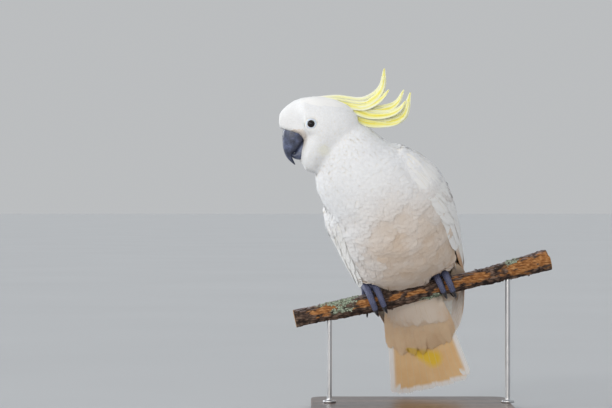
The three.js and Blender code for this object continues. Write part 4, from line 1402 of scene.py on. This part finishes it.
def tail_finish():
    """White webs under the tail in tan and cream, the tan partly their own yellow wash and partly painted
    warm shade, with a yellow flush below the coverts.
    """
    material, tree, shader = new_finish("tan-flushed tail plumage", 0.62, Sheen_Weight=0.1,
                                        Specular_IOR_Level=0.3)
    along, side, warm = field(tree, "along"), field(tree, "side"), field(tree, "warm")
    spot = wire(tree, "ShaderNodeSeparateXYZ", {0: place_of(tree)})
    across, high = spot.outputs[0], spot.outputs[2]
    cloud = noise(tree, 60, 3)
    # The tan is partly the underside's own yellow wash and partly painted warm shade.
    tan = graded(tree, cloud, (0.3, (0.86, 0.54, 0.24)), (0.7, (0.91, 0.62, 0.32)))
    colour = blended(tree, times(tree, warm, 0.95), rgb(0.95, 0.94, 0.925), tan)
    # The yellow flush is a blotch below the coverts that runs out in a streak to one side.
    way = FLUSH_BLOTCH - FLUSH_STREAK
    size = float(way @ way)
    along_it = plus(tree, times(tree, across, way[0] / size), times(tree, high, way[2] / size))
    share = minus(tree, along_it, float(FLUSH_STREAK @ way) / size, clamp=True)
    off_x = minus(tree, minus(tree, across, FLUSH_STREAK[0]), times(tree, share, way[0]))
    off_z = minus(tree, minus(tree, high, FLUSH_STREAK[2]), times(tree, share, way[2]))
    off = maths(tree, "SQRT", plus(tree, times(tree, off_x, off_x), times(tree, off_z, off_z)))
    reach = plus(tree, times(tree, share, 0.011), times(tree, cloud, 0.006))
    flush = minus(tree, 1.0, maths(tree, "DIVIDE", off, reach), clamp=True)
    flush = times(tree, flush, 1.7, clamp=True)
    flushed = blended(tree, times(tree, times(tree, flush, warm), 0.9), colour, rgb(0.93, 0.63, 0.04))
    edge = maths(tree, "ABSOLUTE", side)
    shaft = times(tree, maths(tree, "LESS_THAN", edge, 0.05), 0.35)
    paint(tree, shader, blended(tree, shaft, flushed, rgb(0.80, 0.64, 0.42)))
    barb_ridges(tree, shader, along, edge, 110.0, 12.0, 0.08)
    return material


FLUSH_BLOTCH = corner_spot("tail", 0.56, 0, 0.31) * [1, 0, 1]
FLUSH_STREAK = corner_spot("tail", 0.25, 0, 0.39) * [1, 0, 1]
TAIL_WHITE = tail_finish()
feather_tail()


# ---------------------------------------------------------------- the crest
# Each crest feather's half width, how far aside it lies, and its path forward and up from HEAD_SPOT.
CREST = [
    (5.2, 0.0, [(6, 35), (-22, 34), (-50, 31), (-66, 37), (-76.5, 50), (-79, 71)]),
    (4.7, 1.6, [(0, 34), (-26, 31), (-52, 27), (-68, 32), (-78, 39), (-84, 46)]),
    (5.0, -1.6, [(-6, 32), (-34, 27), (-60, 22), (-80, 24), (-94, 31), (-102, 46)]),
    (4.7, 1.6, [(-8, 30), (-36, 25), (-62, 17), (-84, 18), (-97, 24), (-104, 33)]),
    (5.6, -1.6, [(-10, 28), (-36, 21), (-60, 12), (-84, 9.5), (-102, 17), (-110, 43)]),
    (5.0, 0.0, [(-12, 26), (-36, 17), (-58, 9), (-78, 6.5), (-92, 7), (-101, 11)]),
]
# The strands that each crest feather is laid in: how far aside, how long and how wide.
CREST_STRANDS = [(0.0, 1.0, 1.0), (2.3, 0.94, 0.8), (-2.3, 0.96, 0.8), (1.2, 0.86, 0.7), (-1.2, 0.9, 0.7)]
COVER_FEATHERS, COVER_STEPS = 230, 14


def smooth_path(knots, steps):
    """A smooth line through a few knots."""
    knots = np.asarray(knots, float)
    ends = np.vstack([2 * knots[0] - knots[1], knots, 2 * knots[-1] - knots[-2]])
    out = []
    for t in np.linspace(0, len(knots) - 1 - 1e-9, steps):
        i, f = int(t), t - int(t)
        a, b, c, d = ends[i:i + 4]
        square, cube = 2 * a - 5 * b + 4 * c - d, 3 * b - a - 3 * c + d
        out.append(0.5 * (2 * b + (c - a) * f + square * f**2 + cube * f**3))
    return np.array(out)


def feather_crest():
    plumes = Bundle(71)
    rng = np.random.default_rng(72)
    for wide, side, path in CREST:
        line = smooth_path(path, 40)
        for lean, reach, swell in CREST_STRANDS:
            count = max(int(40 * reach), 12)
            part = line[:count].copy()
            run = np.linspace(0, 1, count)
            aside = (side + lean * (0.4 + 0.6 * run)) * MM
            forward, up = part[:, 0], part[:, 1] - abs(lean) * 0.5 * np.sin(run * math.pi)
            places = (HEAD_SPOT + HEAD_FORWARD * (forward * MM)[:, None] + UP * (up * MM)[:, None]
                      + HEAD_LEFT * aside[:, None])
            facing = HEAD_LEFT + UP * 0.25 * lean + UP * rng.normal(0, 0.05)
            half = wide * swell * 1.25 * MM
            plumes.add(places, np.tile(facing, (count, 1)), half, half, cup=0.14 if lean >= 0 else -0.14,
                       round_from=0.55, point=0.5, shaft=0.3 * MM, fray=0.7 * MM, root_width=0.5,
                       warm=0.5 + rng.uniform(-0.1, 0.1) + 0.25 * (lean != 0))
    finished(plumes.piece("crest_plumes", CREST_YELLOW), "yellow_plumes", "crest")
    # White feathers of the crown lie over the crest's roots.
    cover = Bundle(73)
    under = smooth_copy("crown", ["head", "crest"], 1.6 * MM, 3)
    crown = Surface(*arrays_of(under.data)).tree
    bpy.data.objects.remove(under)
    for _ in range(COVER_FEATHERS):
        lean = rng.uniform(-1, 1)
        turn = math.copysign(math.radians(34 + 38 * abs(lean)), lean)
        start = rng.uniform(-22, 22)
        length = rng.uniform(16, 27) * (1 - 0.25 * abs(lean)) * MM
        out = unit(UP * math.cos(turn) + HEAD_LEFT * math.sin(turn))
        first = HEAD_SPOT + HEAD_FORWARD * start * MM + UP * 20 * MM + out * 15 * MM
        way = unit(-HEAD_FORWARD - HEAD_LEFT * lean * 0.05 - UP * 0.12)
        way = unit(way - out * (way @ out))
        line = draped(crown, first, way, out, length, (-0.9 * MM, 0.1 * MM), COVER_STEPS)
        if line is not None:
            cover.add(line, np.tile(out, (COVER_STEPS, 1)), 2.9 * MM, 2.9 * MM, cup=0.06, round_from=0.3,
                      thick=0.1 * MM, shaft=0.02 * MM, warm=0.0, fray=1.4 * MM, point=0.4)
    finished(cover.piece("crest_cover_feathers", CREST_YELLOW), "plumage")


def crest_finish():
    """Sulphur yellow plumes, deepest along their middles and cream at the rims; warm 0 is plain white."""
    material, tree, shader = new_finish("sulphur crest", 0.6, Sheen_Weight=0.1, Specular_IOR_Level=0.3)
    along, side, warm = field(tree, "along"), field(tree, "side"), field(tree, "warm")
    edge = maths(tree, "ABSOLUTE", side)
    streak = noise(tree, 40, 3)
    depth = plus(tree, times(tree, edge, 0.75), times(tree, streak, 0.35))
    threads = noise(tree, 260, 2, stretched(tree, (0.2, 1.0, 1.0)))
    depth = plus(tree, depth, times(tree, minus(tree, threads, 0.5), 0.5))
    yellow = graded(tree, depth, (0.12, (0.93, 0.80, 0.10)), (0.36, (0.95, 0.90, 0.30)),
                    (0.66, (0.96, 0.95, 0.52)), (0.95, (0.96, 0.96, 0.80)))
    base = graded(tree, along, (0.02, 0.0), (0.22, 1.0))
    share = times(tree, maths(tree, "GREATER_THAN", warm, 0.05), base)
    paint(tree, shader, blended(tree, share, rgb(0.93, 0.92, 0.90), yellow))
    barb_ridges(tree, shader, along, edge, 80.0, 8.0, 0.10)
    return material


CREST_YELLOW = crest_finish()
feather_crest()


# ---------------------------------------------------------------- bill and eyes
def rounded_copy(name, node, levels):
    """A solid's mesh in quads where it can be, rounded off by subdivision."""
    bm = bmesh.new()
    bm.from_mesh(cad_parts[node].data)
    bmesh.ops.remove_doubles(bm, verts=bm.verts, dist=1e-6)
    bmesh.ops.join_triangles(bm, faces=bm.faces, angle_face_threshold=0.7, angle_shape_threshold=1.5)
    piece = new_piece(name, [], [])
    bm.to_mesh(piece.data)
    bm.free()
    rounder = piece.modifiers.new("rounder", "SUBSURF")
    rounder.levels = rounder.render_levels = levels
    settle(piece)
    shade_smooth(piece.data)
    return piece


def bill_finish():
    """Dark slate horn with a paler bloom whose blue tint is a painted sky reflection, and growth lines round
    it.
    """
    material, tree, shader = new_finish("dark bill horn", 0.36, Coat_Weight=0.25, Coat_Roughness=0.25,
                                        Specular_IOR_Level=0.55)
    place = place_of(tree)
    bloom = noise(tree, 140, 5, place)
    fine = noise(tree, 900, 4, place)
    mixed = plus(tree, times(tree, bloom, 0.7), times(tree, fine, 0.3))
    # Painted reflection: the palest stops are tinted blue for the sky mirrored in the horn.
    colour = graded(tree, mixed, (0.36, (0.026, 0.030, 0.046)), (0.52, (0.060, 0.072, 0.125)),
                    (0.66, (0.120, 0.145, 0.25)))
    paint(tree, shader, colour)
    shine = graded(tree, mixed, (0.35, 0.28), (0.7, 0.52))
    paint(tree, shader, shine, "Roughness")
    growth = {"Vector": place, "Scale": 170.0, "Distortion": 5.0, "Detail": 3.0, "Detail Scale": 1.2}
    rings = wire(tree, "ShaderNodeTexWave", growth, bands_direction="Z").outputs["Fac"]
    height = plus(tree, times(tree, rings, 0.6), fine)
    bump(tree, shader, height, 0.22, 0.0004)
    return material


def eye_finish():
    """A wet, very dark brown eye with a black pupil."""
    material, tree, shader = new_finish("wet dark eye", 0.05, Coat_Weight=0.15, Coat_Roughness=0.02,
                                        Specular_IOR_Level=0.3)
    gap = field(tree, "gap")
    fibres = noise(tree, 2500, 3)
    lit = plus(tree, gap, times(tree, fibres, 0.04))
    colour = graded(tree, lit, (0.30, (0.002, 0.002, 0.003)), (0.33, (0.010, 0.006, 0.005)),
                    (0.50, (0.022, 0.011, 0.008)), (0.66, (0.004, 0.003, 0.004)))
    paint(tree, shader, colour)
    bump(tree, shader, fibres, 0.02, 0.0001)
    return material


def make_eye(side, material):
    """An eyeball, turned out to its side, with a slight bulge of the cornea."""
    axis = HEAD_LEFT if side == "left" else -HEAD_LEFT
    across = unit(np.cross(axis, UP))
    above = np.cross(across, axis)
    rings, spokes = 40, 64
    turn = np.linspace(0, math.pi, rings + 1)[1:-1]
    round_about = np.arange(spokes) * 2 * math.pi / spokes
    gap = np.repeat(np.sin(turn), spokes)
    swell = 1 + np.where(np.repeat(turn, spokes) < 1, 0.05 * smoothstep(0.62, 0.2, gap), 0)
    a = np.tile(round_about, len(turn))
    out = (np.repeat(np.cos(turn), spokes)[:, None] * axis + (gap * np.cos(a))[:, None] * across
           + (gap * np.sin(a))[:, None] * above)
    points = np.vstack([EYES[side] + out * (swell * EYE_RADIUS)[:, None],
                        EYES[side] + axis * EYE_RADIUS * 1.05, EYES[side] - axis * EYE_RADIUS])
    front, back = len(points) - 2, len(points) - 1
    faces = []
    for j in range(spokes):
        k = (j + 1) % spokes
        faces.append((front, j, k))
        faces.append((back, (rings - 2) * spokes + k, (rings - 2) * spokes + j))
        for i in range(rings - 2):
            faces.append((i * spokes + j, (i + 1) * spokes + j, (i + 1) * spokes + k, i * spokes + k))
    piece = new_piece(f"eyeball_{side}", points, faces, material)
    face_outwards(piece)
    keep_field(piece.data, "gap", np.concatenate([gap, [0, 0]]))
    finished(piece, "eye", f"eye_{side}")


def close_bill(piece):
    """Raises the lower bill's rims into the upper bill, so that no light shows between them."""
    points, _ = arrays_of(piece.data)
    low, top = points[:, 2].min(), points[:, 2].max()
    share = (points[:, 2] - low) / (top - low)
    points[:, 2] += 4.4 * MM * smoothstep(0.2, 0.9, share)
    points += HEAD_FORWARD * (2.4 * MM * smoothstep(0.3, 0.9, share))[:, None]
    move_points(piece, points)


def finish_bill_and_eyes():
    horn = bill_finish()
    for node, name in (("bill_upper", "upper_bill"), ("bill_lower", "lower_bill")):
        piece = rounded_copy(name, node, 3)
        if node == "bill_lower":
            close_bill(piece)
        piece.data.materials.append(horn)
        finished(piece, "bill_horn", node)
    wet = eye_finish()
    for side in ("left", "right"):
        make_eye(side, wet)


finish_bill_and_eyes()


# ---------------------------------------------------------------- feet and claws
def foot_finish():
    """Slate-grey foot skin, painted paler on the scales' tops as highlight and dark in the creases between
    them as shade.
    """
    material, tree, shader = new_finish("scaled foot skin", 0.62, Specular_IOR_Level=0.4)
    raised = field(tree, "raised")
    grain = noise(tree, 1600, 3)
    height = plus(tree, times(tree, raised, 0.8), times(tree, grain, 0.3))
    # Painted light: pale highlight on the raised scales, dark shade in the creases.
    colour = graded(tree, height, (0.12, (0.017, 0.016, 0.024)), (0.45, (0.047, 0.051, 0.092)),
                    (0.95, (0.120, 0.132, 0.225)))
    paint(tree, shader, colour)
    bump(tree, shader, grain, 0.35, 0.0003)
    return material


def scaly_foot(side, material):
    """A foot with small raised scales all over it."""
    piece = smooth_copy(f"scaled_foot_{side}", [f"foot_{side}"], 0.62 * MM, 4)
    form = Surface(*arrays_of(piece.data))
    wide = np.full(len(form.points), 1.55 * MM)
    scales, _ = scatter(form, wide, 6, 81)
    tree = place_tree(scales)
    gaps = np.array([[hit[2] for hit in tree.find_n(place, 2)] for place in form.points.tolist()])
    crease = np.clip((gaps[:, 1] - gaps[:, 0]) / (0.9 * MM), 0, 1)
    raised = np.sqrt(crease)
    points = form.points + form.normals * ((raised - 0.55) * 0.42 * MM)[:, None]
    move_points(piece, points)
    keep_field(piece.data, "raised", raised)
    shade_smooth(piece.data)
    piece.data.materials.append(material)
    finished(piece, "foot_skin", f"foot_{side}")


def claw_finish():
    """Black claw horn, greyer and duller here and there, with fine wear."""
    material, tree, shader = new_finish("black claw horn", 0.3, Coat_Weight=0.3, Coat_Roughness=0.2)
    wear = noise(tree, 500, 4)
    colour = graded(tree, wear, (0.4, (0.010, 0.010, 0.013)), (0.7, (0.045, 0.045, 0.058)))
    paint(tree, shader, colour)
    paint(tree, shader, graded(tree, wear, (0.35, 0.22), (0.7, 0.48)), "Roughness")
    bump(tree, shader, wear, 0.15, 0.0003)
    return material


def finish_feet():
    skin_grey, horn = foot_finish(), claw_finish()
    for side in ("left", "right"):
        scaly_foot(side, skin_grey)
    for node in [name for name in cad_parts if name.startswith("claw_")]:
        claw = smooth_copy(node.replace("claw", "curved_claw"), [node], 0.36 * MM, 5)
        shade_smooth(claw.data)
        claw.data.materials.append(horn)
        finished(claw, "claw_horn", node)


finish_feet()


# ---------------------------------------------------------------- the perch
BARK_STEPS, BARK_SPOKES = 560, 112
CRACK_SEED = 93
# Patches on the bark: the share along it, the turn round it, half the length and half the breadth as a turn.
LICHEN_PATCHES = [
    (0.17, 0.75, 0.075, 1.1), (0.245, 2.3, 0.03, 1.1), (0.55, 4.4, 0.05, 1.1), (0.86, 1.0, 0.03, 1.1),
]
BARE_PATCHES = [
    (0.115, 0.35, 0.045, 0.7), (0.30, 0.2, 0.05, 0.55), (0.405, 0.15, 0.03, 0.5), (0.48, 0.0, 0.04, 0.45),
    (0.60, -0.35, 0.045, 0.4), (0.70, 0.25, 0.085, 0.75), (0.90, 0.1, 0.07, 0.8), (0.985, 0.3, 0.05, 0.8),
    (0.45, 3.2, 0.08, 0.9), (0.78, 2.6, 0.06, 0.8), (0.22, 3.6, 0.07, 0.8),
]
# The rings that each sawn end is closed with: the share of the rim's radius and how far they stand out.
SAWN_RINGS = [(0.985, 0.5), (0.9, 0.9), (0.72, 0.85), (0.5, 0.8), (0.28, 0.78), (0.1, 0.7)]
SAWN_FIELDS = {"bare": 1.0, "lichen": 0.0, "plate": 0.5, "sawn": 1.0}
FLAKE_FIELDS = {"plate": 1.0, "bare": 0.0, "lichen": 0.0, "sawn": 0.0}


def perch_rings():
    """Places round the perch's solid: stations along it by spokes about it."""
    points, faces = arrays_of(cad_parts["perch"].data)
    tree = BVHTree.FromPolygons(points.tolist(), faces.tolist())
    low, top = points[:, 0].min(), points[:, 0].max()
    first = points[points[:, 0] < low + 20 * MM].mean(0)
    last = points[points[:, 0] > top - 20 * MM].mean(0)
    axis = unit(last - first)
    run = (points - first) @ axis
    ends = run.min() + 3.2 * MM, run.max() - 3.2 * MM
    over = unit(UP - axis * (UP @ axis))
    front = np.cross(axis, over)
    front = front if front[1] < 0 else -front
    stations = np.linspace(*ends, BARK_STEPS)
    turns = np.arange(BARK_SPOKES) * 2 * math.pi / BARK_SPOKES
    rings = np.zeros((BARK_STEPS, BARK_SPOKES, 3))
    outs = np.cos(turns)[:, None] * front + np.sin(turns)[:, None] * over
    for i, station in enumerate(stations):
        centre = first + axis * station
        for _ in range(2):
            above = tree.ray_cast(Vector(centre + over * 0.05), Vector(-over), 0.1)[0]
            below = tree.ray_cast(Vector(centre - over * 0.05), Vector(over), 0.1)[0]
            if above and below:
                centre = centre + over * ((np.array(above) + np.array(below)) / 2 - centre) @ over
        for j, out in enumerate(outs):
            hit = tree.ray_cast(Vector(centre + out * 0.05), Vector(-out), 0.05)[0]
            rings[i, j] = hit if hit is not None else rings[i - 1, j] + axis * (stations[1] - stations[0])
    for _ in range(6):
        rings = (rings * 2 + np.roll(rings, 1, 1) + np.roll(rings, -1, 1)) / 4
        rings[1:-1] = (rings[1:-1] * 2 + rings[:-2] + rings[2:]) / 4
    return rings, axis, turns


def patch_share(share, turns, patches, ragged):
    """How much each place lies in one of the patches, with ragged borders."""
    total = np.zeros((len(share), len(turns)))
    for along, turn, long_half, wide_half in patches:
        off = (np.angle(np.exp(1j * (turns[None, :] - turn)))) / wide_half
        gap = np.sqrt(((share[:, None] - along) / long_half) ** 2 + off**2)
        total = np.maximum(total, smoothstep(1.15, 0.75, gap + ragged))
    return total


def grow_bark():
    """The branch: bark in cracked flakes with bare orange-brown wood between, lichen and sawn ends."""
    rings, axis, turns = perch_rings()
    share = np.linspace(0, 1, BARK_STEPS)
    shape = rings.shape[:2]
    coarse, cracks, fine, ragged = (np.zeros(shape) for _ in range(4))
    # The cracks' wander would else be drawn anew on each run.
    noise_field.seed_set(CRACK_SEED)
    for i in range(shape[0]):
        for j in range(shape[1]):
            spot = rings[i, j] / MM
            along = spot @ axis
            spot = spot - axis * along * 0.62
            wander = Vector(spot * 0.16)
            coarse[i, j] = noise_field.noise(Vector(spot * 0.10))
            bent = Vector(spot * 0.24) + 0.35 * noise_field.noise_vector(Vector(spot * 0.3))
            near = noise_field.voronoi(bent)[0]
            cracks[i, j] = near[1] - near[0]
            fine[i, j] = noise_field.fractal(Vector(spot * 0.9), 0.9, 2.1, 4)
            ragged[i, j] = noise_field.fractal(wander * 1.6, 0.9, 2.1, 3)
    bare = patch_share(share, turns, BARE_PATCHES, 0.85 * ragged)
    lichen = patch_share(share, turns, LICHEN_PATCHES, 0.6 * ragged) * (1 - bare)
    plate = smoothstep(0.02, 0.30, cracks)
    height = 0.35 * coarse + (plate * 0.85 - 0.55) * (1 - bare) - 0.55 * bare + 0.30 * fine * (1 - 0.6 * bare)
    centres = rings.mean(1, keepdims=True)
    outward = unit(rings - centres)
    rings = rings + outward * (height * MM)[..., None]
    points = [rings.reshape(-1, 3)]
    faces = ring_faces(*shape)
    fields = {"bare": bare.ravel(), "lichen": lichen.ravel(), "plate": plate.ravel(),
              "sawn": np.zeros(rings[..., 0].size)}
    for end, sign in ((0, -1), (shape[0] - 1, 1)):
        rim, centre = rings[end], rings[end].mean(0)
        previous = np.arange(end * shape[1], end * shape[1] + shape[1])
        for step, depth in SAWN_RINGS:
            start = sum(len(p) for p in points)
            points.append(centre + (rim - centre) * step + axis * sign * depth * MM)
            ring = np.arange(start, start + shape[1])
            for j in range(shape[1]):
                k = (j + 1) % shape[1]
                quad = (previous[j], previous[k], ring[k], ring[j])
                faces.append(quad if sign > 0 else quad[::-1])
            for name, value in SAWN_FIELDS.items():
                fields[name] = np.concatenate([fields[name], np.full(shape[1], value)])
            previous = ring
        hub = sum(len(p) for p in points)
        points.append((centre + axis * sign * SAWN_RINGS[-1][1] * MM)[None])
        for j in range(shape[1]):
            face = (previous[j], previous[(j + 1) % shape[1]], hub)
            faces.append(face if sign > 0 else face[::-1])
        for name, value in SAWN_FIELDS.items():
            fields[name] = np.concatenate([fields[name], [value]])
    piece = new_piece("bark_perch", np.vstack(points), faces, bark_finish(centres.mean((0, 1)), axis))
    face_outwards(piece)
    for name, values in fields.items():
        keep_field(piece.data, name, values)
    finished(piece, "bark", "perch")
    return piece


def bark_finish(centre, axis):
    """Dark flaking bark, bare orange-brown wood, grey-green lichen and a painted pale highlight along the
    upper side.
    """
    material, tree, shader = new_finish("flaking bark", 0.85, Specular_IOR_Level=0.25)
    place = place_of(tree)
    grain_place = stretched(tree, (0.25, 1.0, 1.0))
    cloud = noise(tree, 120, 5, place)
    fine = noise(tree, 900, 5, place)
    grain = noise(tree, 700, 4, grain_place)
    dark = graded(tree, cloud, (0.34, (0.030, 0.020, 0.017)), (0.48, (0.105, 0.062, 0.044)),
                  (0.64, (0.22, 0.145, 0.105)))
    flaked = blended(tree, times(tree, minus(tree, 1.0, field(tree, "plate")), 0.75), dark,
                     rgb(0.012, 0.009, 0.008))
    wood = graded(tree, grain, (0.35, (0.15, 0.055, 0.017)), (0.52, (0.33, 0.135, 0.040)),
                  (0.68, (0.50, 0.26, 0.10)))
    colour = blended(tree, field(tree, "bare"), flaked, wood)
    greens = graded(tree, noise(tree, 400, 4, place), (0.35, (0.13, 0.19, 0.13)), (0.6, (0.36, 0.44, 0.33)))
    spots = graded(tree, noise(tree, 260, 3, place), (0.42, 0.0), (0.56, 1.0))
    colour = blended(tree, times(tree, field(tree, "lichen"), spots), colour, greens)
    # Painted highlight: the upper side turns a pale grey, where the sky lights it.
    normal = wire(tree, "ShaderNodeNewGeometry").outputs["Normal"]
    facing = wire(tree, "ShaderNodeSeparateXYZ", {0: normal}).outputs[2]
    sky_highlight = times(tree, graded(tree, facing, (0.72, 0.0), (0.98, 1.0)),
                     graded(tree, fine, (0.38, 0.15), (0.62, 0.85)))
    colour = blended(tree, sky_highlight, colour, rgb(0.42, 0.38, 0.40))
    # Growth rings and fine checks on the sawn ends.
    inward = vectors(tree, "SUBTRACT", place, tuple(centre))[0]
    radius = vectors(tree, "LENGTH", vectors(tree, "CROSS_PRODUCT", inward, tuple(axis))[0])["Value"]
    wavy = plus(tree, times(tree, radius, 5200.0), times(tree, cloud, 5.0))
    ring = plus(tree, times(tree, maths(tree, "SINE", wavy), 0.5), 0.5)
    sawn = graded(tree, ring, (0.0, (0.36, 0.22, 0.11)), (1.0, (0.58, 0.42, 0.26)))
    paint(tree, shader, blended(tree, field(tree, "sawn"), colour, sawn))
    bump(tree, shader, plus(tree, fine, times(tree, grain, 0.7)), 0.5, 0.0007)
    return material


def lichen_lobe(name, seed):
    """A small curled rosette lobe, one across, on the XY plane."""
    rng = np.random.default_rng(seed)
    points, faces = [(0, 0.0, 0.05)], []
    lobes = 9
    for ring, height in ((0.5, 0.16), (1.0, 0.42)):
        for k in range(lobes):
            turn = 2 * math.pi * k / lobes
            ragged = 0.35 * rng.random() - 0.25 * (k % 2) if ring == 1.0 else 0
            reach = ring * 0.5 * (1 + ragged)
            up = height * (0.6 + 0.6 * rng.random())
            points.append((reach * math.cos(turn), reach * math.sin(turn) + 0.5, up))
    points[0] = (0, 0.5, 0.02)
    for k in range(lobes):
        n = (k + 1) % lobes
        faces.append((0, 1 + k, 1 + n))
        faces.append((1 + k, 1 + lobes + k, 1 + lobes + n, 1 + n))
    mesh = bpy.data.meshes.new(name)
    mesh.from_pydata(points, [], faces)
    shade_smooth(mesh)
    keep_field(mesh, "along", [p[1] for p in points])
    keep_field(mesh, "side", [p[0] for p in points])
    return bpy.data.objects.new(name, mesh)


def lichen_finish():
    material, tree, shader = new_finish("grey-green lichen", 0.9, Specular_IOR_Level=0.2)
    colour = graded(tree, noise(tree, 700, 4), (0.35, (0.20, 0.25, 0.17)), (0.62, (0.50, 0.55, 0.43)))
    paint(tree, shader, colour)
    bump(tree, shader, noise(tree, 2600, 3), 0.5, 0.0003)
    return material


def dress_bark(perch):
    """Lichen rosettes on the lichen patches, and loose curled flakes of bark elsewhere."""
    form = Surface(*arrays_of(perch.data))
    rng = np.random.default_rng(91)
    for name, key, spacing, sizes, material in (
        ("lichen_rosettes", "lichen", 1.15, (0.9, 2.1), lichen_finish()),
        ("loose_bark_flakes", "plate", 3.6, (1.6, 3.6), perch.data.materials[0]),
    ):
        form.fields["share"] = field_values(perch.data, key)
        form.fields["sawn"] = field_values(perch.data, "sawn") + field_values(perch.data, "bare")
        places, faces = scatter(form, np.full(len(form.points), spacing * MM), 5, 92)
        wanted = (form.read(faces, places, "share") > (0.45 if key == "lichen" else 0.85))
        wanted &= form.read(faces, places, "sawn") < (0.5 if key == "lichen" else 0.15)
        if key == "plate":
            wanted &= rng.random(len(places)) < 0.35
        places, faces = places[wanted], faces[wanted]
        normals = unit(form.read(faces, places, "normal"))
        count = len(places)
        ahead = rng.normal(size=(count, 3))
        ahead = unit(ahead - normals * (ahead * normals).sum(1)[:, None])
        lean = unit(ahead + normals * rng.uniform(0.0, 0.25, count)[:, None])
        wide = rng.uniform(*sizes, count) * MM
        long = wide * rng.uniform(0.8, 1.3, count)
        size = np.stack([wide, long, wide * (0.6 if key == "lichen" else 0.25)], 1)
        still = np.zeros((count, 3))
        roots = {
            "place": places - normals * 0.15 * MM, "lie": lean, "up": normals, "bow": still, "size": size,
            "root_spot": still, "tone": rng.random(count), "warm": np.zeros(count),
            "yellow": np.zeros(count), "kind": rng.integers(0, 3, count),
        }
        piece = grow_coat(name, roots, LICHEN_LOBES, material)
        piece.data.uv_layers.remove(piece.data.uv_layers["OFBake"])
        if key == "plate":
            for attribute, value in FLAKE_FIELDS.items():
                keep_field(piece.data, attribute, np.full(len(piece.data.vertices), value))
        finished(piece, "bark")


LICHEN_LOBES = [lichen_lobe(f"lichen_lobe_{k}", 95 + k) for k in range(3)]
dress_bark(grow_bark())


# ---------------------------------------------------------------- the stand
def dark_wood_finish():
    """Satin dark walnut: long grain with pores under a thin lacquer."""
    material, tree, shader = new_finish("dark walnut", 0.38, Coat_Weight=0.35, Coat_Roughness=0.22)
    long_place = stretched(tree, (0.10, 1.0, 1.0))
    broad = noise(tree, 45, 5, long_place, Distortion=0.6)
    pores = noise(tree, 900, 3, long_place)
    mixed = plus(tree, times(tree, broad, 0.8), times(tree, pores, 0.2))
    colour = graded(tree, mixed, (0.36, (0.035, 0.017, 0.010)), (0.5, (0.085, 0.042, 0.024)),
                    (0.64, (0.15, 0.080, 0.045)))
    paint(tree, shader, colour)
    paint(tree, shader, graded(tree, pores, (0.3, 0.50), (0.6, 0.34)), "Roughness")
    bump(tree, shader, pores, 0.12, 0.0003)
    return material


def steel_finish():
    """Brushed steel, with fine rings round the rod and a few duller smudges."""
    material, tree, shader = new_finish("brushed steel", 0.3, Metallic=1.0)
    fine_place = stretched(tree, (1.0, 1.0, 14.0))
    brushed = noise(tree, 500, 3, fine_place)
    smudge = noise(tree, 60, 3)
    paint(tree, shader, graded(tree, smudge, (0.4, (0.60, 0.60, 0.61)), (0.7, (0.52, 0.52, 0.53))))
    paint(tree, shader, graded(tree, brushed, (0.3, 0.24), (0.7, 0.42)), "Roughness")
    bump(tree, shader, brushed, 0.08, 0.0002)
    return material


def closed_tube(rings, spokes):
    """A tube's faces with a cap at each end."""
    last = (rings - 1) * spokes
    return ring_faces(rings, spokes) + [tuple(range(spokes))[::-1], tuple(range(last, last + spokes))]


def rounded_base():
    """The stand's slab, with round corners and softened edges."""
    low, top = (np.array(corner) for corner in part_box("stand_base"))
    corner, ease = 20 * MM, 2.2 * MM
    outline = []
    for cx, cy, start in ((top[0] - corner, top[1] - corner, 0), (low[0] + corner, top[1] - corner, 90),
                          (low[0] + corner, low[1] + corner, 180), (top[0] - corner, low[1] + corner, 270)):
        for k in range(17):
            turn = math.radians(start + 90 * k / 16)
            outline.append((cx, cy, math.cos(turn), math.sin(turn)))
    rows = [(0.6 * MM, low[2]), (0.0, low[2] + 0.6 * MM)]
    for k in range(9):
        turn = math.pi / 2 * k / 8
        rows.append((ease * (1 - math.cos(turn)), top[2] - ease + ease * math.sin(turn)))
    points = []
    for inset, z in rows:
        points += [(cx + nx * (corner - inset), cy + ny * (corner - inset), z) for cx, cy, nx, ny in outline]
    return points, closed_tube(len(rows), len(outline))


def turned(name, foot, profile, material, spokes=48):
    """A round piece standing on a point, from (radius, height) pairs."""
    points = []
    for radius, height in profile:
        for j in range(spokes):
            turn = 2 * math.pi * j / spokes
            points.append(foot + [radius * math.cos(turn), radius * math.sin(turn), height])
    return new_piece(name, points, closed_tube(len(profile), spokes), material)


ROD_RADIUS = 3 * MM
# The foot of each rod: radius and height.
FLANGE = [(7.6, 0), (8, 0.4), (8, 2.2), (7.8, 2.7), (7.2, 3), (4.2, 3), (3.4, 3.3), (3, 4.2)]


def build_stand():
    base = new_piece("stand_slab", *rounded_base(), dark_wood_finish())
    finished(base, "stand_base", "stand_base")
    steel = steel_finish()
    for side in ("left", "right"):
        low, top = (np.array(corner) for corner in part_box(f"stand_rod_{side}"))
        foot = np.array([(low[0] + top[0]) / 2, (low[1] + top[1]) / 2, low[2]])
        tall = top[2] - low[2]
        profile = [(radius * MM, height * MM) for radius, height in FLANGE]
        profile += [(ROD_RADIUS, height) for height in np.linspace(6 * MM, tall - 0.5 * MM, 24)]
        profile += [(ROD_RADIUS - 0.4 * MM, tall)]
        rod = turned(f"stand_post_{side}", foot, profile, steel)
        finished(rod, "stand_rod", f"stand_rod_{side}")


build_stand()
